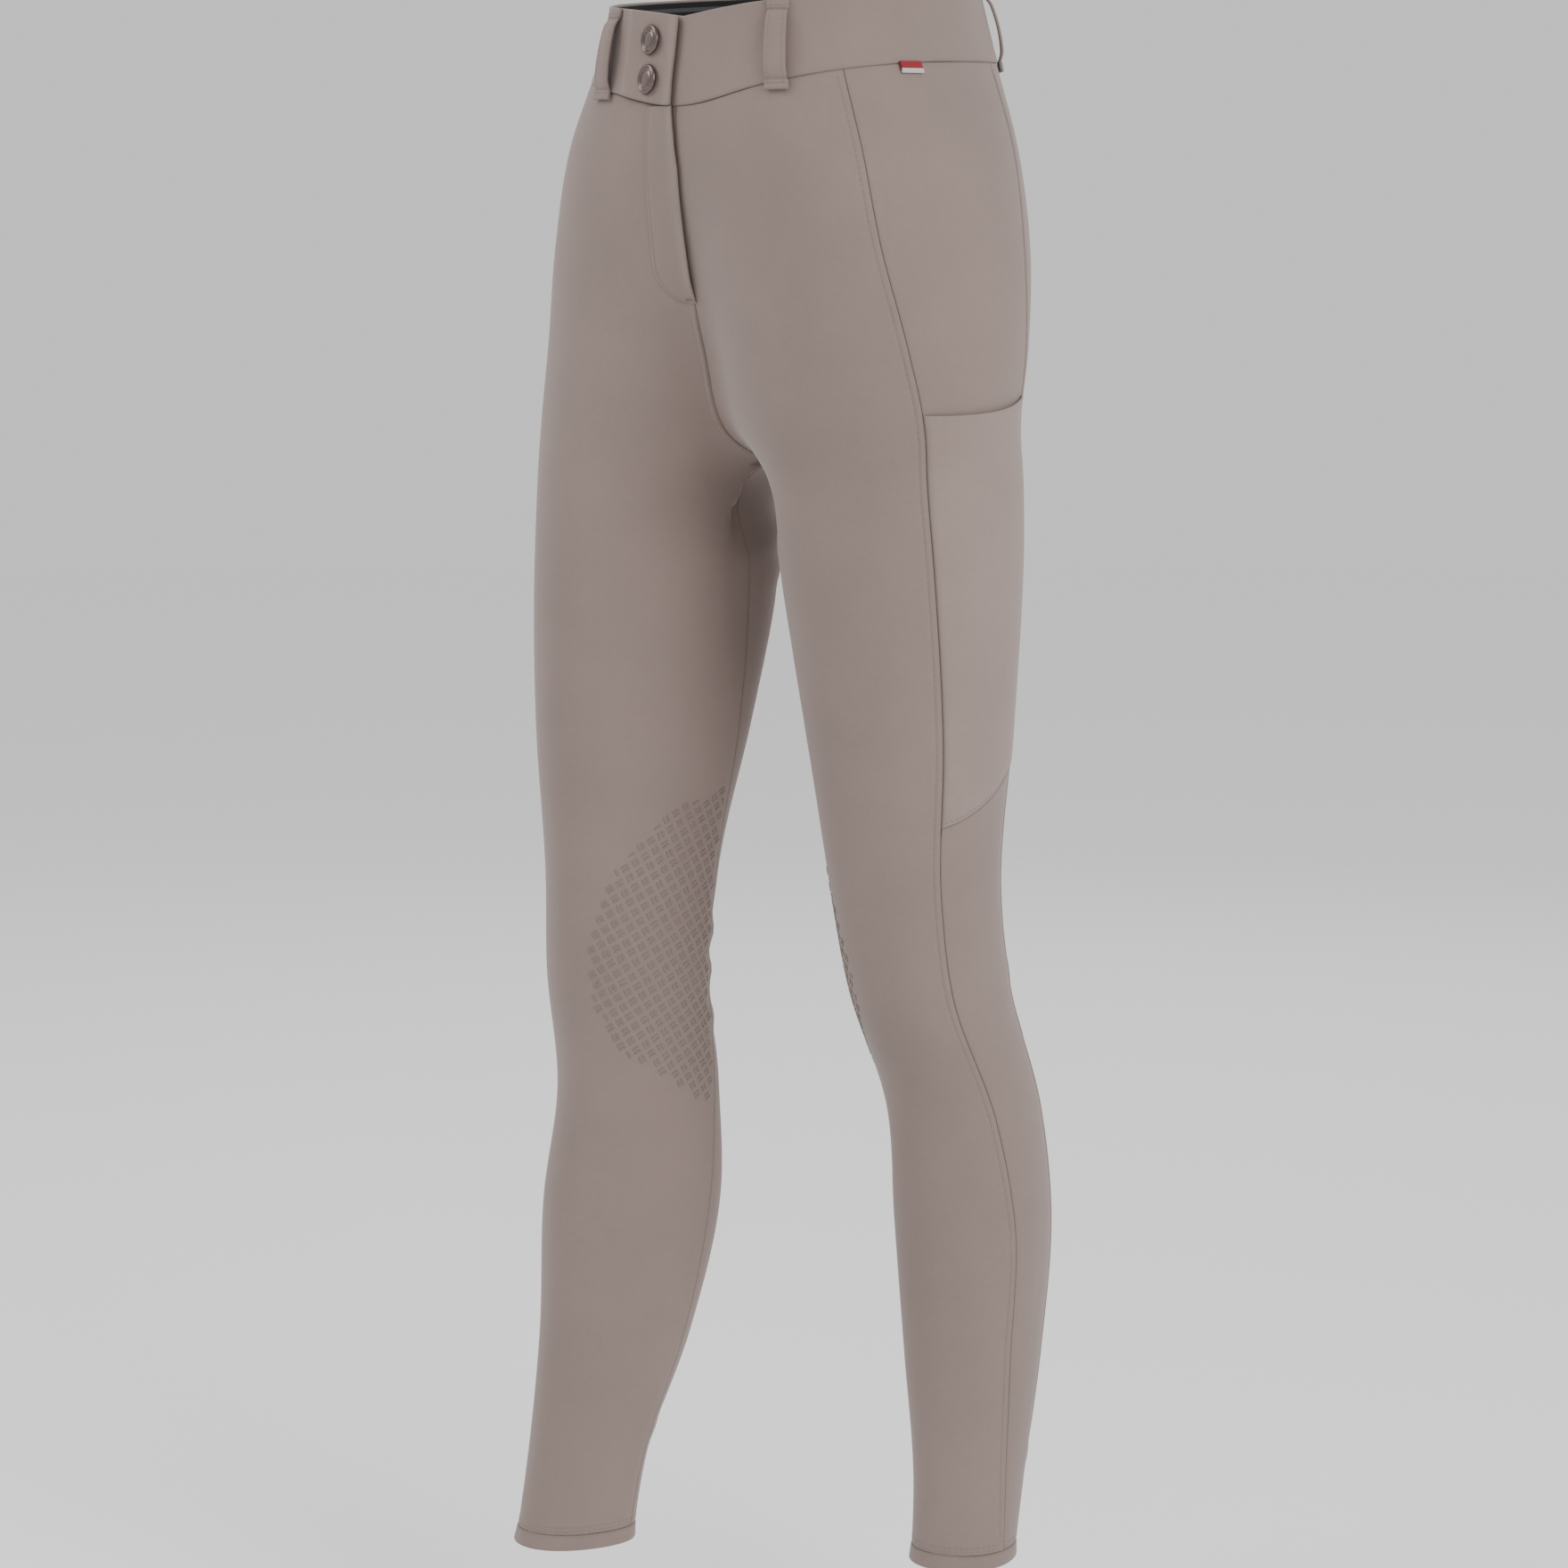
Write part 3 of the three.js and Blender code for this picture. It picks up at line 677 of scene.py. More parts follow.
def striped_material(name, ground, stripe, low, high, axis):
    """Woven tape with a stripe along it, between two places across it in metres."""
    material, tree, surface = shader(name, 0.85, sheen=0.15, specular=0.3)
    place = add(tree, "ShaderNodeAttribute", attribute_name="cloth_at").outputs["Vector"]
    parts = add(tree, "ShaderNodeSeparateXYZ", Vector=place)
    weave = add(tree, "ShaderNodeTexWave", wave_type="BANDS", bands_direction="X", Vector=place,
                Scale=2 * math.pi / 20 / 0.0009, Distortion=0.4, Detail=1.0).outputs["Fac"]
    cross = add(tree, "ShaderNodeTexWave", wave_type="BANDS", bands_direction="Y", Vector=place,
                Scale=2 * math.pi / 20 / 0.0007, Distortion=0.4, Detail=1.0).outputs["Fac"]
    above = math_of(tree, "GREATER_THAN", parts.outputs[axis], low)
    below = math_of(tree, "LESS_THAN", parts.outputs[axis], high)
    inside = math_of(tree, "MULTIPLY", above, below)
    colour = blend_colours(tree, inside, ground, stripe)
    yarn = math_of(tree, "MULTIPLY", weave, cross)
    colour = blend_colours(tree, ramp(tree, yarn, 0.0, 1.0, 0.35, 0.0), colour, (0.01, 0.01, 0.01, 1.0))
    tree.links.new(colour, surface.inputs["Base Color"])
    bump = add(tree, "ShaderNodeBump", Strength=0.4, Distance=0.0003, Height=yarn)
    tree.links.new(bump.outputs[0], surface.inputs["Normal"])
    return material


# The third colour of each cloth is painted shade, mixed in along seams, folds and raised edges.
cloth = cloth_material("stretch cloth", srgb(134, 117, 111), srgb(124, 109, 103), srgb(88, 76, 71))
pocket_cloth = cloth_material("pocket cloth", srgb(141, 125, 119), srgb(132, 116, 110), srgb(94, 82, 77),
                              weave=0.12)
thread = plain_material("sewing thread", srgb(128, 113, 107), srgb(108, 95, 90), 0.6, 4000.0, 0.2,
                        sheen=0.2)
print_ink = plain_material("raised knee print", srgb(121, 106, 101), srgb(113, 99, 94), 0.5, 1500.0, 0.12,
                           specular=0.35)
cap_finish = plain_material("button cap", srgb(116, 101, 96), srgb(100, 88, 84), 0.3, 900.0, 0.06,
                            metallic=0.85)
lining = striped_material("elastic lining", srgb(30, 30, 31), srgb(84, 84, 85), 0.019, 0.0215, "Y")
tape_weave = striped_material("woven tape", srgb(150, 34, 46), srgb(206, 200, 196), 0.0046, 0.0084, "Y")


# Body panels, side pockets and hems

# Lift of the side panel by the distance in from its seams, where the pocket is sewn over it
UNDER_POCKET = [(0, -1.3), (0.7, -0.6), (1.5, -0.2), (3, 0)]
POCKET_SWELL = 1.0

# Hem: its length round the leg, its radius and the heights of its two lines of stitching above it
HEM_RADIUS = 34
HEM_LINES = (2.2, 4.8)

# Columns of the panel grids that lie on the lines of topstitching
LINE_IN = NEAR_SEAM.index(STITCH_IN)
EDGE_LINE_IN = NEAR_SEAM.index(1.4)


def painted_seam_shade(*distances):
    """Painted shade on the cloth by its closest seam: how much of the cloth's darker third colour it takes.
    """
    return 0.3 * np.exp(-np.minimum.reduce(distances) / 0.8)


def panel_levels(*stops):
    return steps_between([(-BAND_FRONT_DEPTH, NEAR_EDGE), *stops, (HEM_TOP, NEAR_EDGE)], ROW_STEP)


def body_panel(name, side, grid, lift):
    """One panel between the waist seam and the hem, from its grid and the lift of its outer face."""
    level = grid["level"]
    from_top = level[0, 0] - level
    edge = np.minimum.reduce([grid["from_start"], grid["from_end"], from_top, level - level[-1, 0]])
    half = WALL / 2 * rounded(edge, WALL / 2)
    outer, inner, normal = thick_points(side, grid, lift * ease(from_top, 0, 8) - WALL / 2, half)
    # painted shade along the panel's seams and its top edge
    shade = painted_seam_shade(grid["from_start"], grid["from_end"], from_top)
    obj = cloth_sheet(name, outer, inner, cloth, np.dstack([grid["across"], level]), shade)
    finish_piece(obj, "cloth", name)
    return outer, normal


def sew_column(group, grid, panel, column, low, high):
    outer, normal = panel
    rows = (grid["level"][:, 0] >= low) & (grid["level"][:, 0] <= high)
    sew(group, outer[rows, column], normal[rows, column])


def front_panel(hand, side):
    crotch = crotch_height(True)
    grid = panel_grid(side, centre_front, side_front, lambda share: 0 * share,
                      panel_levels((crotch, NEAR_CROTCH)))
    lift = profile(grid["from_end"], RIDGE)
    if side < 0:
        below_fly = ease(FLY_BOTTOM - grid["level"], -2, 5) * ease(grid["level"], crotch, crotch + 12)
        lift = lift + profile(grid["from_start"], RIDGE) * below_fly
    panel = body_panel("front_" + hand, side, grid, lift)
    sew_column("front_" + hand, grid, panel, -LINE_IN - 1, HEM_TOP + 4, -BAND_FRONT_DEPTH - 3)
    if side < 0:
        sew_column("centre_front", grid, panel, LINE_IN, crotch + 2, FLY_BOTTOM - 4)
        sew_column("centre_front", grid, panel, EDGE_LINE_IN, crotch + 2, FLY_BOTTOM - 4)


def back_panel(hand, side):
    crotch = crotch_height(False)
    grid = panel_grid(side, side_back, centre_back, lambda share: 1 - share,
                      panel_levels((crotch, NEAR_CROTCH)))
    lift = profile(grid["from_start"], RIDGE)
    if side < 0:
        lift = lift + profile(grid["from_end"], RIDGE) * ease(grid["level"], crotch, crotch + 12)
    panel = body_panel("back_" + hand, side, grid, lift)
    sew_column("back_" + hand, grid, panel, LINE_IN, HEM_TOP + 4, -BAND_FRONT_DEPTH - 3)
    if side < 0:
        sew_column("centre_back", grid, panel, -LINE_IN - 1, crotch + 2, -BAND_FRONT_DEPTH - 3)


def side_panel(hand, side):
    grid = panel_grid(side, side_front, side_back, lambda share: share,
                      panel_levels((POCKET_MOUTH, NEAR_EDGE), (POCKET_FOOT, NEAR_EDGE)))
    level = grid["level"]
    covered = ease(POCKET_MOUTH - level, 0, 3) * ease(level, POCKET_FOOT - 1, POCKET_FOOT + 1)
    lift = covered * profile(np.minimum(grid["from_start"], grid["from_end"]), UNDER_POCKET)
    below = np.maximum(POCKET_FOOT - level, 0)
    lift += POCKET_SWELL * np.exp(-((below / 6) ** 2)) * ease(POCKET_FOOT - level, -0.4, 0.6)
    body_panel("side_" + hand, side, grid, lift)


def pocket(hand, side):
    levels = steps_between([(POCKET_MOUTH, NEAR_EDGE), (POCKET_FOOT, NEAR_EDGE)], ROW_STEP)
    grid = panel_grid(side, side_front, side_back, lambda share: share, levels, near=NEAR_SEAM[:-3])
    from_mouth = POCKET_MOUTH - grid["level"]
    from_foot = grid["level"] - POCKET_FOOT
    from_side = np.minimum(grid["from_start"], grid["from_end"])
    half = POCKET_WALL / 2 * rounded(np.minimum.reduce([from_side, from_mouth, from_foot]), POCKET_WALL / 2)
    gape = POCKET_GAPE * ease(-from_mouth, -60, 0) * np.sin(math.pi * grid["share"])
    flat_lift = LAID_ON + POCKET_WALL / 2 + gape
    sides = profile(from_side, [(0, 0), (0.8, 0.55), (2.3, 0.9), (4, 1)])
    foot = profile(from_foot, [(0, 0.2), (1, 0.6), (3, 1)])
    lift = -WALL / 2 + (flat_lift + WALL / 2) * np.minimum(sides, foot)
    lift -= 0.3 * np.exp(-(((from_foot - 3.3) / 0.8) ** 2))
    lift -= 0.25 * np.exp(-(((from_mouth - 9) / 1.2) ** 2))
    outer, inner, normal = thick_points(side, grid, lift, half)
    # painted shade along the pocket's sides and foot
    shade = painted_seam_shade(from_side, from_foot)
    obj = cloth_sheet("pocket_" + hand, outer, inner, pocket_cloth,
                      np.dstack([grid["across"], grid["level"]]), shade)
    finish_piece(obj, "pocket_cloth", "pocket_" + hand)
    row = int(np.argmin(np.abs(levels - POCKET_FOOT - 3)))
    sew("pocket_" + hand, outer[row, 4:-4], normal[row, 4:-4])


def hem(hand, side):
    length = HEM_TOP - HEM_BOTTOM
    down = np.array([0, 0.15, 0.5, 1.0, 1.8, 3, 4.5, 6, 7.5, 8.6, 9.3, 9.8, length])
    angle = np.arange(0, 360, 3.0)[None, :] + np.zeros((len(down), 1))
    fallen = down[:, None] + np.zeros(angle.shape)
    edge = np.minimum(fallen, length - fallen)
    half = HEM_WALL / 2 * rounded(edge, HEM_WALL / 2)
    lift = BAND_PROUD - HEM_WALL / 2 + HEM_FLARE * fallen / length
    base, normal = dress(leg_points(angle, HEM_TOP - fallen), float(side), lift)
    run = angle * math.pi / 180 * HEM_RADIUS
    # painted shade along the hem's top edge, where it meets the panel
    shade = 0.4 * np.exp(-fallen / 0.9)
    obj = cloth_sheet("hem_" + hand, base + normal * half[..., None], base - normal * half[..., None],
                      cloth, np.dstack([run, -fallen]), shade, wrap=True)
    finish_piece(obj, "cloth", "hem_" + hand)
    around = np.arange(0, 361, 3.0)
    level = np.zeros(around.shape)
    for above in HEM_LINES:
        path, out = dress(leg_points(around, level + HEM_TOP + above), float(side), level)
        sew("hem_" + hand, path, out)


# Waistband, its lining, the fly, belt loops, buttons and tape

WAIST_RADIUS = 110
FLY_WALL = 1.2
TAB_PROUD = 1.9

# How far the fly's free edge strays to the wearer's left, by the depth below the waist
FLY_WAVE = [(54, -3.5), (72, 0), (92, 3), (124, 2.6), (140, 2), (162, 0.8), (174, 0)]


def band_lift(angle):
    tab = ease(angle, 360 + TAB_FROM, 360 + TAB_FLAT_FROM) * (BAND_WALL + LAID_ON)
    flare = TAB_PROUD * ease(angle, 360 + TAB_END - 7, 360 + TAB_END)
    wave = 0.18 * np.sin(np.radians(angle * 9)) + 0.12 * np.sin(np.radians(angle * 23 + 40))
    return BAND_PROUD + tab + flare + wave * ease(angle, UNDERLAP_END + 30, UNDERLAP_END + 50)


def band_grid(start, end, bottom, top, across_steps, near):
    """Angles and heights over a strip round the waist, with distances from its lower and upper edges."""
    fine = np.array(near) / WAIST_RADIUS * 180 / math.pi
    middle = np.linspace(start + fine[-1], end - fine[-1], across_steps + 1)[1:-1]
    angle = np.concatenate([start + fine, middle, end - fine[::-1]])[None, :]
    height = top(angle) - bottom(angle)
    rise = steps_between([(0, near), (50, near)], 4.5)[:, None] / 50
    z = bottom(angle) + height * rise
    return angle + 0 * z, z, height * rise, height * (1 - rise)


def waistband():
    start, end = UNDERLAP_END, 360 + TAB_END
    near = [0, 0.12, 0.4, 0.9, 1.6, 2.6, 4.0]
    angle, z, from_bottom, from_top = band_grid(start, end, waist_seam, band_top, 300, near)
    along = (angle - start) / (end - start)
    reach = WAIST_RADIUS * math.pi / 180
    from_end = (end - angle) * reach
    corner = np.clip(1 - from_top / 4, 0, 1)
    trim = 1 - np.sqrt(1 - corner**2)
    wobble = 0.6 * np.sin((z + 18) / 13) + 0.08 * np.sin(z / 4.1 + 1)
    ends = np.minimum(from_end, (angle - start) * reach)
    angle = angle + (wobble - 1.6 * trim) * ease(along, 0.93, 1.0)
    edge = np.minimum.reduce([from_bottom, from_top, ends])
    half = BAND_WALL / 2 * rounded(edge, BAND_WALL / 2)
    lift = band_lift(angle) - BAND_WALL / 2
    lift += 0.25 * np.exp(-((from_top / 3) ** 2)) + 0.2 * np.exp(-((from_bottom / 3) ** 2))
    base, normal = around_waist(angle, z, lift)
    # painted shade along the band's lower seam and beside the tab's end
    shade = 0.35 * np.exp(-from_bottom / 0.8) + 0.15 * np.exp(-np.abs(from_end) / 0.8)
    obj = cloth_sheet("waistband", base + normal * half[..., None], base - normal * half[..., None], cloth,
                      np.dstack([angle * reach, z]), np.clip(shade, 0, 1))
    finish_piece(obj, "cloth", "waistband")


def waistband_facing():
    near = [0, 0.2, 0.6, 1.2, 2.4]
    angle, z, from_bottom, from_top = band_grid(
        FACING_FROM, FACING_TO, lambda a: waist_seam(a) + 1, lambda a: band_top(a) - 1, 160, near)
    reach = WAIST_RADIUS * math.pi / 180
    ends = np.minimum(angle - FACING_FROM, FACING_TO - angle) * reach
    half = FACING_WALL / 2 * rounded(np.minimum.reduce([from_bottom, from_top, ends]), FACING_WALL / 2)
    face = BAND_PROUD - BAND_WALL - 0.3 - FACING_WALL / 2
    stripe = 0.3 * ease(1.3 - np.abs(from_top - 4), 0, 0.6)
    base, normal = around_waist(angle, z, np.full(z.shape, face))
    outer = base + normal * half[..., None]
    inner = base - normal * (half + stripe * (half > 0.3))[..., None]
    obj = cloth_sheet("waistband_facing", outer, inner, lining, np.dstack([angle * reach, 25 - from_top]),
                      np.zeros(z.shape))
    finish_piece(obj, "band_lining", "waistband_facing")


def fly():
    top = float(waist_seam(0.0)) - 0.1
    bottom = FLY_BOTTOM
    straight = steps_between([(top, NEAR_EDGE), (bottom + FLY_CURVE, [0])], 2.5)
    bend = np.radians([0, 8, 16, 24, 32, 40, 48, 56, 64, 70, 75, 80, 84, 87, 90])[1:]
    z = np.concatenate([straight, bottom + FLY_CURVE * (1 - np.sin(bend))])[:, None]
    into = np.clip((bottom + FLY_CURVE - z) / FLY_CURVE, 0, 1)
    width = 2.5 + (FLY_WIDTH - 2.5) * np.sqrt(1 - into**2)
    near = np.array([0, 0.15, 0.5, 1.1, 1.9, 2.6, 3.3, 4.2])
    ahead = np.array([0, 0.12, 0.4, 0.9, 1.6, 2.6])
    share = np.concatenate([near / 30, np.linspace(4.2, 27.4, 9)[1:-1] / 30, 1 - ahead[::-1] / 30])[None, :]
    wave = np.interp(-z, [h for h, _ in FLY_WAVE], [d for _, d in FLY_WAVE])
    across = FLY_EDGE - width + width * share + wave * share**3
    z = z + np.zeros(across.shape)
    from_left = width * share
    from_edge = width * (1 - share)
    from_curve = np.minimum(from_left, 0.8 * (z - bottom))
    lift = profile(from_curve, [(0, -0.5), (0.8, 0.1), (1.8, 0.75), (2.6, 0.55), (3.6, 0.95), (7, 1.15)])
    lift += (1.5 + 0.25 * np.sin(z / 13.0)) * ease(-from_edge, -9, 0) * ease(z - bottom, 0, 16)
    edge = np.minimum.reduce([from_left, from_edge, top - z, z - bottom])
    half = FLY_WALL / 2 * rounded(edge, FLY_WALL / 2)
    base, normal = across_front(across, z, lift)
    # painted shade along the fly's free edge and in the groove of its J stitch
    shade = 0.1 * np.exp(-from_edge / 0.8) + 0.2 * np.exp(-(((from_curve - 2.6) / 0.7) ** 2))
    outer = base + normal * half[..., None]
    obj = cloth_sheet("fly", outer, base - normal * half[..., None], cloth,
                      np.dstack([across, z]), np.clip(shade, 0, 1))
    finish_piece(obj, "cloth", "fly")
    turn = np.linspace(0, 1, 60)
    down = top - 2 + (bottom + 2.4 - top + 2) * np.sin(turn * math.pi / 2)
    lean = np.clip((bottom + FLY_CURVE - down) / (FLY_CURVE - 2.2), 0, 1)
    line = FLY_EDGE - 2.6 - (FLY_WIDTH - 5.2) * np.sqrt(1 - lean**2)
    path, out = across_front(line, down, np.full(line.shape, 1.15))
    sew("fly", path, out)
    across = np.linspace(FLY_EDGE - 7.5, FLY_EDGE - 1.0, 26)
    zig = bottom + 3 + 0.7 * np.sign(np.sin(np.arange(26) * math.pi + 0.5))
    path, out = across_front(across, zig, np.full(across.shape, 1.3))
    sew("fly", path, out, length=1.3, gap=0.02)


def belt_loop(name, angle):
    centre, _ = around_waist(np.array(float(angle)), np.array(-20.0), np.array(0.0))
    reach = math.hypot(centre[0], centre[1]) * math.pi / 180
    bottom = float(waist_seam(float(angle))) - LOOP_BELOW_SEAM
    top = float(band_top(float(angle))) - 0.5
    height = top - bottom
    near = [0, 0.12, 0.4, 0.9, 1.6, 2.6, 3.8, 5.0, 5.6, 6.2, 7.0, 8.5]
    rise = steps_between([(0, near), (height, near)], 2.5)[:, None]
    share = np.array([0, 0.12, 0.4, 0.9, 1.6, 2.2, 2.8, 3.6, 4.9, 6.25])
    run = np.concatenate([share, LOOP_WIDTH - share[-2::-1]])[None, :]
    from_end = np.minimum(rise, height - rise)
    foot = 1 - ease(from_end, 5.2, 6.6)
    wide = 1 + 0.1 * foot - 0.03 * np.sin(math.pi * rise / height)
    across = (run - LOOP_WIDTH / 2) * wide
    room = LOOP_ROOM * np.sin(math.pi * rise / height) ** 0.7 * ease(from_end, 3.0, 12.0)
    edge = np.minimum.reduce([np.minimum(run, LOOP_WIDTH - run) + 0 * rise, from_end + 0 * run])
    half = LOOP_WALL / 2 * rounded(edge, LOOP_WALL / 2) * (1 + 0.35 * foot)
    beside = np.minimum(run, LOOP_WIDTH - run)
    groove = (-0.22 * np.exp(-(((beside - 2.2) / 0.5) ** 2))
              - 0.45 * np.exp(-(((from_end - 6.2) / 0.6) ** 2)))
    lift = BAND_PROUD + LAID_ON + LOOP_WALL / 2 + room + groove + 0.3 * foot
    z = bottom + rise + 0 * run
    base, normal = around_waist(angle + across / reach, z, lift + 0 * z)
    # painted shade in the grooves at the folded ends and along the loop's edges
    shade = 0.35 * np.exp(-(((from_end - 6.2) / 0.7) ** 2)) + 0.25 * np.exp(-edge / 0.5)
    outer = base + normal * half[..., None]
    obj = cloth_sheet(name, outer, base - normal * half[..., None], cloth,
                      np.dstack([across + 0 * z, z]), np.clip(shade + 0 * z, 0, 1))
    finish_piece(obj, "cloth", name)
    for column in (5, -6):
        sew("loops", outer[6:-6, column], normal[6:-6, column], length=2.0, gap=0.8)
    for row in (6, -7):
        sew("loops", outer[row, 2:-2], normal[row, 2:-2], length=1.2, gap=0.15)


# A cap's outline from its seat to its middle, as shares of its radius and of its height
CAP_OUTLINE = [
    (0.0, -0.1), (0.9, -0.1), (0.97, 0.05), (1.0, 0.2), (1.0, 0.38), (0.985, 0.55), (0.95, 0.7),
    (0.9, 0.8), (0.85, 0.82), (0.81, 0.78), (0.785, 0.62), (0.76, 0.6), (0.735, 0.66), (0.71, 0.8),
    (0.68, 0.86), (0.64, 0.86), (0.61, 0.8), (0.59, 0.66), (0.565, 0.6), (0.54, 0.62), (0.5, 0.7),
    (0.4, 0.76), (0.28, 0.8), (0.14, 0.82), (0.0, 0.83),
]
CAP_SIDES = 72


def button(name, z):
    """A press button's cap: a flange, a domed rim, two plain rings and a shallow dish."""
    r, h = BUTTON_RADIUS, BUTTON_HEIGHT
    lift = BAND_PROUD + BAND_WALL + LAID_ON + 0.15
    seat, normal = across_front(np.array(float(BUTTON_ACROSS)), np.array(float(z)), np.array(lift))
    lean = math.radians(BUTTON_TURN)
    normal = np.array([normal[0] * math.cos(lean) + normal[1] * math.sin(lean),
                       normal[1] * math.cos(lean) - normal[0] * math.sin(lean), normal[2]])
    sides = CAP_SIDES
    across = Vector(normal).cross(Vector((0, 0, 1))).normalized()
    up = Vector(normal).cross(across)
    turn = np.arange(sides) * 2 * math.pi / sides
    around = np.cos(turn)[:, None] * np.array(across) + np.sin(turn)[:, None] * np.array(up)
    rings = [seat + normal * (y * h) + around * (x * r) for x, y in CAP_OUTLINE[1:-1]]
    ends = [seat + normal * y * h for y in (CAP_OUTLINE[0][1], CAP_OUTLINE[-1][1])]
    points = np.concatenate([*rings, ends])
    count = len(rings)
    quads = [[i * sides + k, i * sides + (k + 1) % sides,
              (i + 1) * sides + (k + 1) % sides, (i + 1) * sides + k]
             for i in range(count - 1) for k in range(sides)]
    low, last = count * sides, (count - 1) * sides
    fans = [[low, (k + 1) % sides, k] for k in range(sides)]
    fans += [[low + 1, last + k, last + (k + 1) % sides] for k in range(sides)]
    obj = make_object(name, points, [np.array(quads), np.array(fans)], cap_finish)
    finish_piece(obj, "button", name)


def side_tape():
    """A tape folded double: down in front, round the fold and up again behind."""
    seat, _ = around_waist(np.array(float(TAPE_ANGLE)), np.array(-30.0), np.array(0.0))
    reach = math.hypot(seat[0], seat[1]) * math.pi / 180
    top = float(waist_seam(float(TAPE_ANGLE))) + 0.1
    layer = TAPE_WALL / 2 - 0.1
    bend = TAPE_WALL / 2 - layer / 2
    fall = TAPE_DROP - bend - layer / 2
    straight = np.array([0, 0.2, 0.6, 1.4, 2.6, 4.0, fall])
    turn = np.radians(np.arange(15, 180, 15))
    down = np.concatenate([straight, fall + bend * np.sin(turn), straight[::-1]])
    out = np.concatenate([0 * straight + bend, bend * np.cos(turn), 0 * straight - bend])
    facing = np.concatenate([0 * straight, turn, 0 * straight + math.pi])
    run = np.concatenate([[0], np.cumsum(np.hypot(np.diff(down), np.diff(out)))])
    across = np.concatenate([[0, 0.1, 0.3, 0.7], np.linspace(1.5, 14.5, 12), [15.3, 15.7, 15.9, 16]])
    across, run = np.meshgrid(across, run)
    edge = np.minimum.reduce([across, TAPE_WIDTH - across, run, run.max() - run])
    half = layer / 2 * rounded(edge, layer / 2)
    faces = []
    for way in (1, -1):
        fallen = down[:, None] + way * half * np.sin(facing)[:, None]
        lift = LAID_ON + TAPE_WALL / 2 + out[:, None] + way * half * np.cos(facing)[:, None]
        spots, _ = around_waist(TAPE_ANGLE + (across - TAPE_WIDTH / 2) / reach, top - fallen, lift)
        faces.append(spots)
    cloth_at = np.dstack([across - TAPE_WIDTH / 2, run])
    obj = cloth_sheet("side_tape", faces[0], faces[1], tape_weave, cloth_at, 0 * run)
    finish_piece(obj, "tape", "side_tape")


# Raised print on the inside of both knees

BAR_ENDS = [[0, 1, 10, 11], [1, 2, 9, 10], [2, 3, 8, 9], [3, 4, 7, 8], [4, 5, 6, 7]]


def grip(hand, side):
    heights = np.arange(-472, -694, -2.0)
    angles = np.arange(-150, -20, 1.0)
    zed = heights[:, None] + 0 * angles[None, :]
    line, _ = dress(leg_points(angles[None, :], zed), float(side), fold_lift(side, angles[None, :], zed))
    run = np.linalg.norm(np.diff(line, axis=1), axis=-1)
    run = np.concatenate([np.zeros((len(heights), 1)), np.cumsum(run, 1)], 1)
    inseam = seam_at(heights)["inseam"]
    run -= np.array([np.interp(i, angles, r) for i, r in zip(inseam, run)])[:, None]
    reach = np.arange(-8, 260, 1.0)
    angle_at = np.stack([np.interp(reach, r, angles) for r in run])

    def angle_of(across, z):
        row = np.clip((heights[0] - z) / 2, 0, len(heights) - 1.001)
        column = np.clip(across - reach[0], 0, len(reach) - 1.001)
        i, j = row.astype(int), column.astype(int)
        a, b = row - i, column - j
        return ((angle_at[i, j] * (1 - b) + angle_at[i, j + 1] * b) * (1 - a)
                + (angle_at[i + 1, j] * (1 - b) + angle_at[i + 1, j + 1] * b) * a)

    lean = math.radians(GRIP_SLANT)
    first = np.array([-math.cos(lean), math.sin(lean)])
    second = np.array([math.sin(lean), math.cos(lean)])
    edge = sorted(GRIP_EDGE)
    bars = []
    for i in range(-60, 60):
        for j in range(-60, 60):
            middle = first * i * GRIP_PITCH + second * j * GRIP_PITCH + np.array(GRIP_MIDDLE)
            way, beside = (first, second) if (i + j) % 2 else (second, first)
            for shift in (-GRIP_APART, GRIP_APART):
                bars.append((*(middle + beside * shift), *way))
    bars = np.array(bars)
    inside = ((bars[:, 0] > GRIP_CLEAR) & (bars[:, 0] < GRIP_REACH)
              & (bars[:, 1] < edge[-1][0]) & (bars[:, 1] > edge[0][0]))
    bars = bars[inside]
    limit = np.interp(bars[:, 1], [h for h, _ in edge], [a for _, a in edge])
    bars = bars[angle_of(bars[:, 0], bars[:, 1]) < limit]
    half_long, half_wide = GRIP_LENGTH / 2, GRIP_WIDTH / 2
    turn = (np.arange(12) + 0.5) * math.pi / 6
    round_x = np.cos(turn) * half_wide + np.sign(np.cos(turn)) * (half_long - half_wide)
    round_y = np.sin(turn) * half_wide
    rings = []
    for shrink, rise in ((0.0, -0.1), (0.0, 0.25), (0.14, 0.45), (0.4, GRIP_HEIGHT)):
        x = round_x - np.sign(round_x) * shrink
        y = round_y * (1 - shrink / half_wide)
        across = bars[:, :1] + bars[:, 2:3] * x - bars[:, 3:4] * y
        z = bars[:, 1:2] + bars[:, 3:4] * x + bars[:, 2:3] * y
        angle = angle_of(across, z)
        spots, _ = dress(leg_points(angle, z), float(side), fold_lift(side, angle, z) + rise)
        rings.append(spots)
    obj = capped_tubes("knee_print_" + hand, np.stack(rings, 1), BAR_ENDS, print_ink)
    finish_piece(obj, "cloth")


# Floor, lights and camera

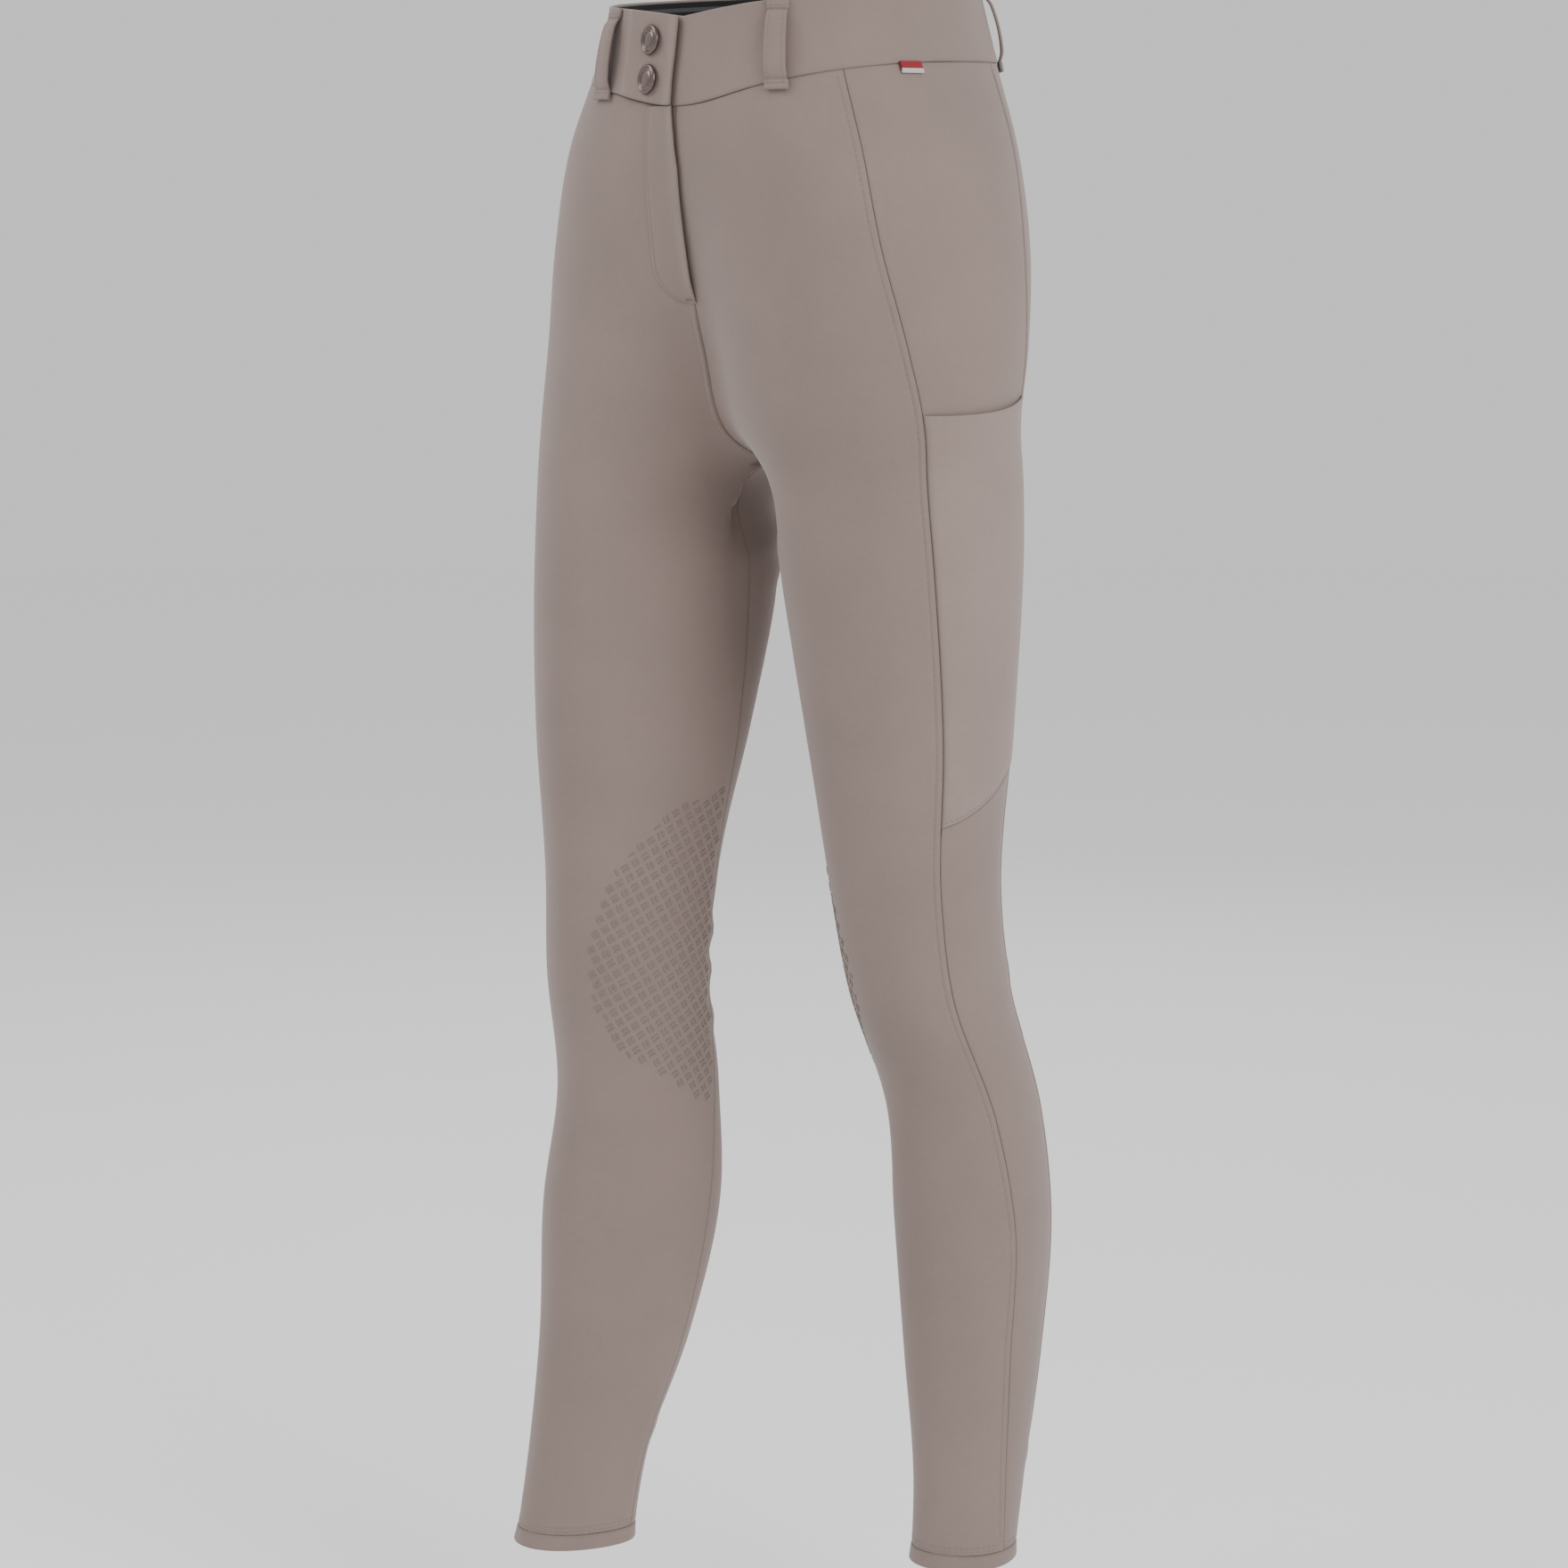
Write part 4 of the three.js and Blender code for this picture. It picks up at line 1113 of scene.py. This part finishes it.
def studio():
    floor_material = plain_material("pale floor", srgb(254, 254, 254), srgb(253, 253, 253), 0.9, 30.0, 0.0)
    level = (HEM_BOTTOM - FLOOR_BELOW) * MM
    turns = np.linspace(0, 2 * math.pi, FLOOR_SIDES + 1)[:-1]
    spots = [(math.cos(a) * FLOOR_RADIUS, math.sin(a) * FLOOR_RADIUS, level) for a in turns]
    fans = [(0, k + 1, (k + 1) % FLOOR_SIDES + 1) for k in range(FLOOR_SIDES)]
    mesh = bpy.data.meshes.new("floor")
    mesh.from_pydata([(0, 0, level)] + spots, [], fans)
    mesh.materials.append(floor_material)
    floor = bpy.data.objects.new("floor", mesh)
    bpy.context.scene.collection.objects.link(floor)
    world = bpy.data.worlds.new("studio")
    bpy.context.scene.world = world
    world.use_nodes = True
    world.node_tree.nodes["Background"].inputs["Color"].default_value = (1, 1, 1, 1)
    world.node_tree.nodes["Background"].inputs["Strength"].default_value = WORLD_LIGHT
    for name, azimuth, height, distance, size, power in LAMPS:
        lamp = bpy.data.lights.new(name, "AREA")
        lamp.energy = power
        lamp.size = size
        obj = bpy.data.objects.new(name, lamp)
        a = math.radians(azimuth)
        obj.location = (math.sin(a) * distance, -math.cos(a) * distance, height)
        aim = Vector((0, 0, LAMP_AIM_HEIGHT)) - obj.location
        obj.rotation_euler = aim.to_track_quat("-Z", "Y").to_euler()
        bpy.context.scene.collection.objects.link(obj)


def camera():
    a = math.radians(CAMERA_AZIMUTH)
    data = bpy.data.cameras.new("camera")
    data.sensor_width = SENSOR
    data.lens = LENS
    obj = bpy.data.objects.new("camera", data)
    distance = CAMERA_DISTANCE * MM
    obj.location = (math.sin(a) * distance, -math.cos(a) * distance, CAMERA_HEIGHT * MM)
    target = Vector((math.cos(a) * TARGET_BACK, math.sin(a) * TARGET_BACK, TARGET_HEIGHT)) * MM
    obj.rotation_euler = (target - obj.location).to_track_quat("-Z", "Y").to_euler()
    bpy.context.scene.collection.objects.link(obj)
    bpy.context.scene.camera = obj


camera()
studio()
for hand, side in (("left", 1), ("right", -1)):
    front_panel(hand, side)
    side_panel(hand, side)
    back_panel(hand, side)
    pocket(hand, side)
    hem(hand, side)
    grip(hand, side)
waistband()
waistband_facing()
fly()
for name, angle in LOOPS.items():
    belt_loop(name, angle)
for name, height in BUTTONS.items():
    button(name, height)
side_tape()
thread_pieces(thread)
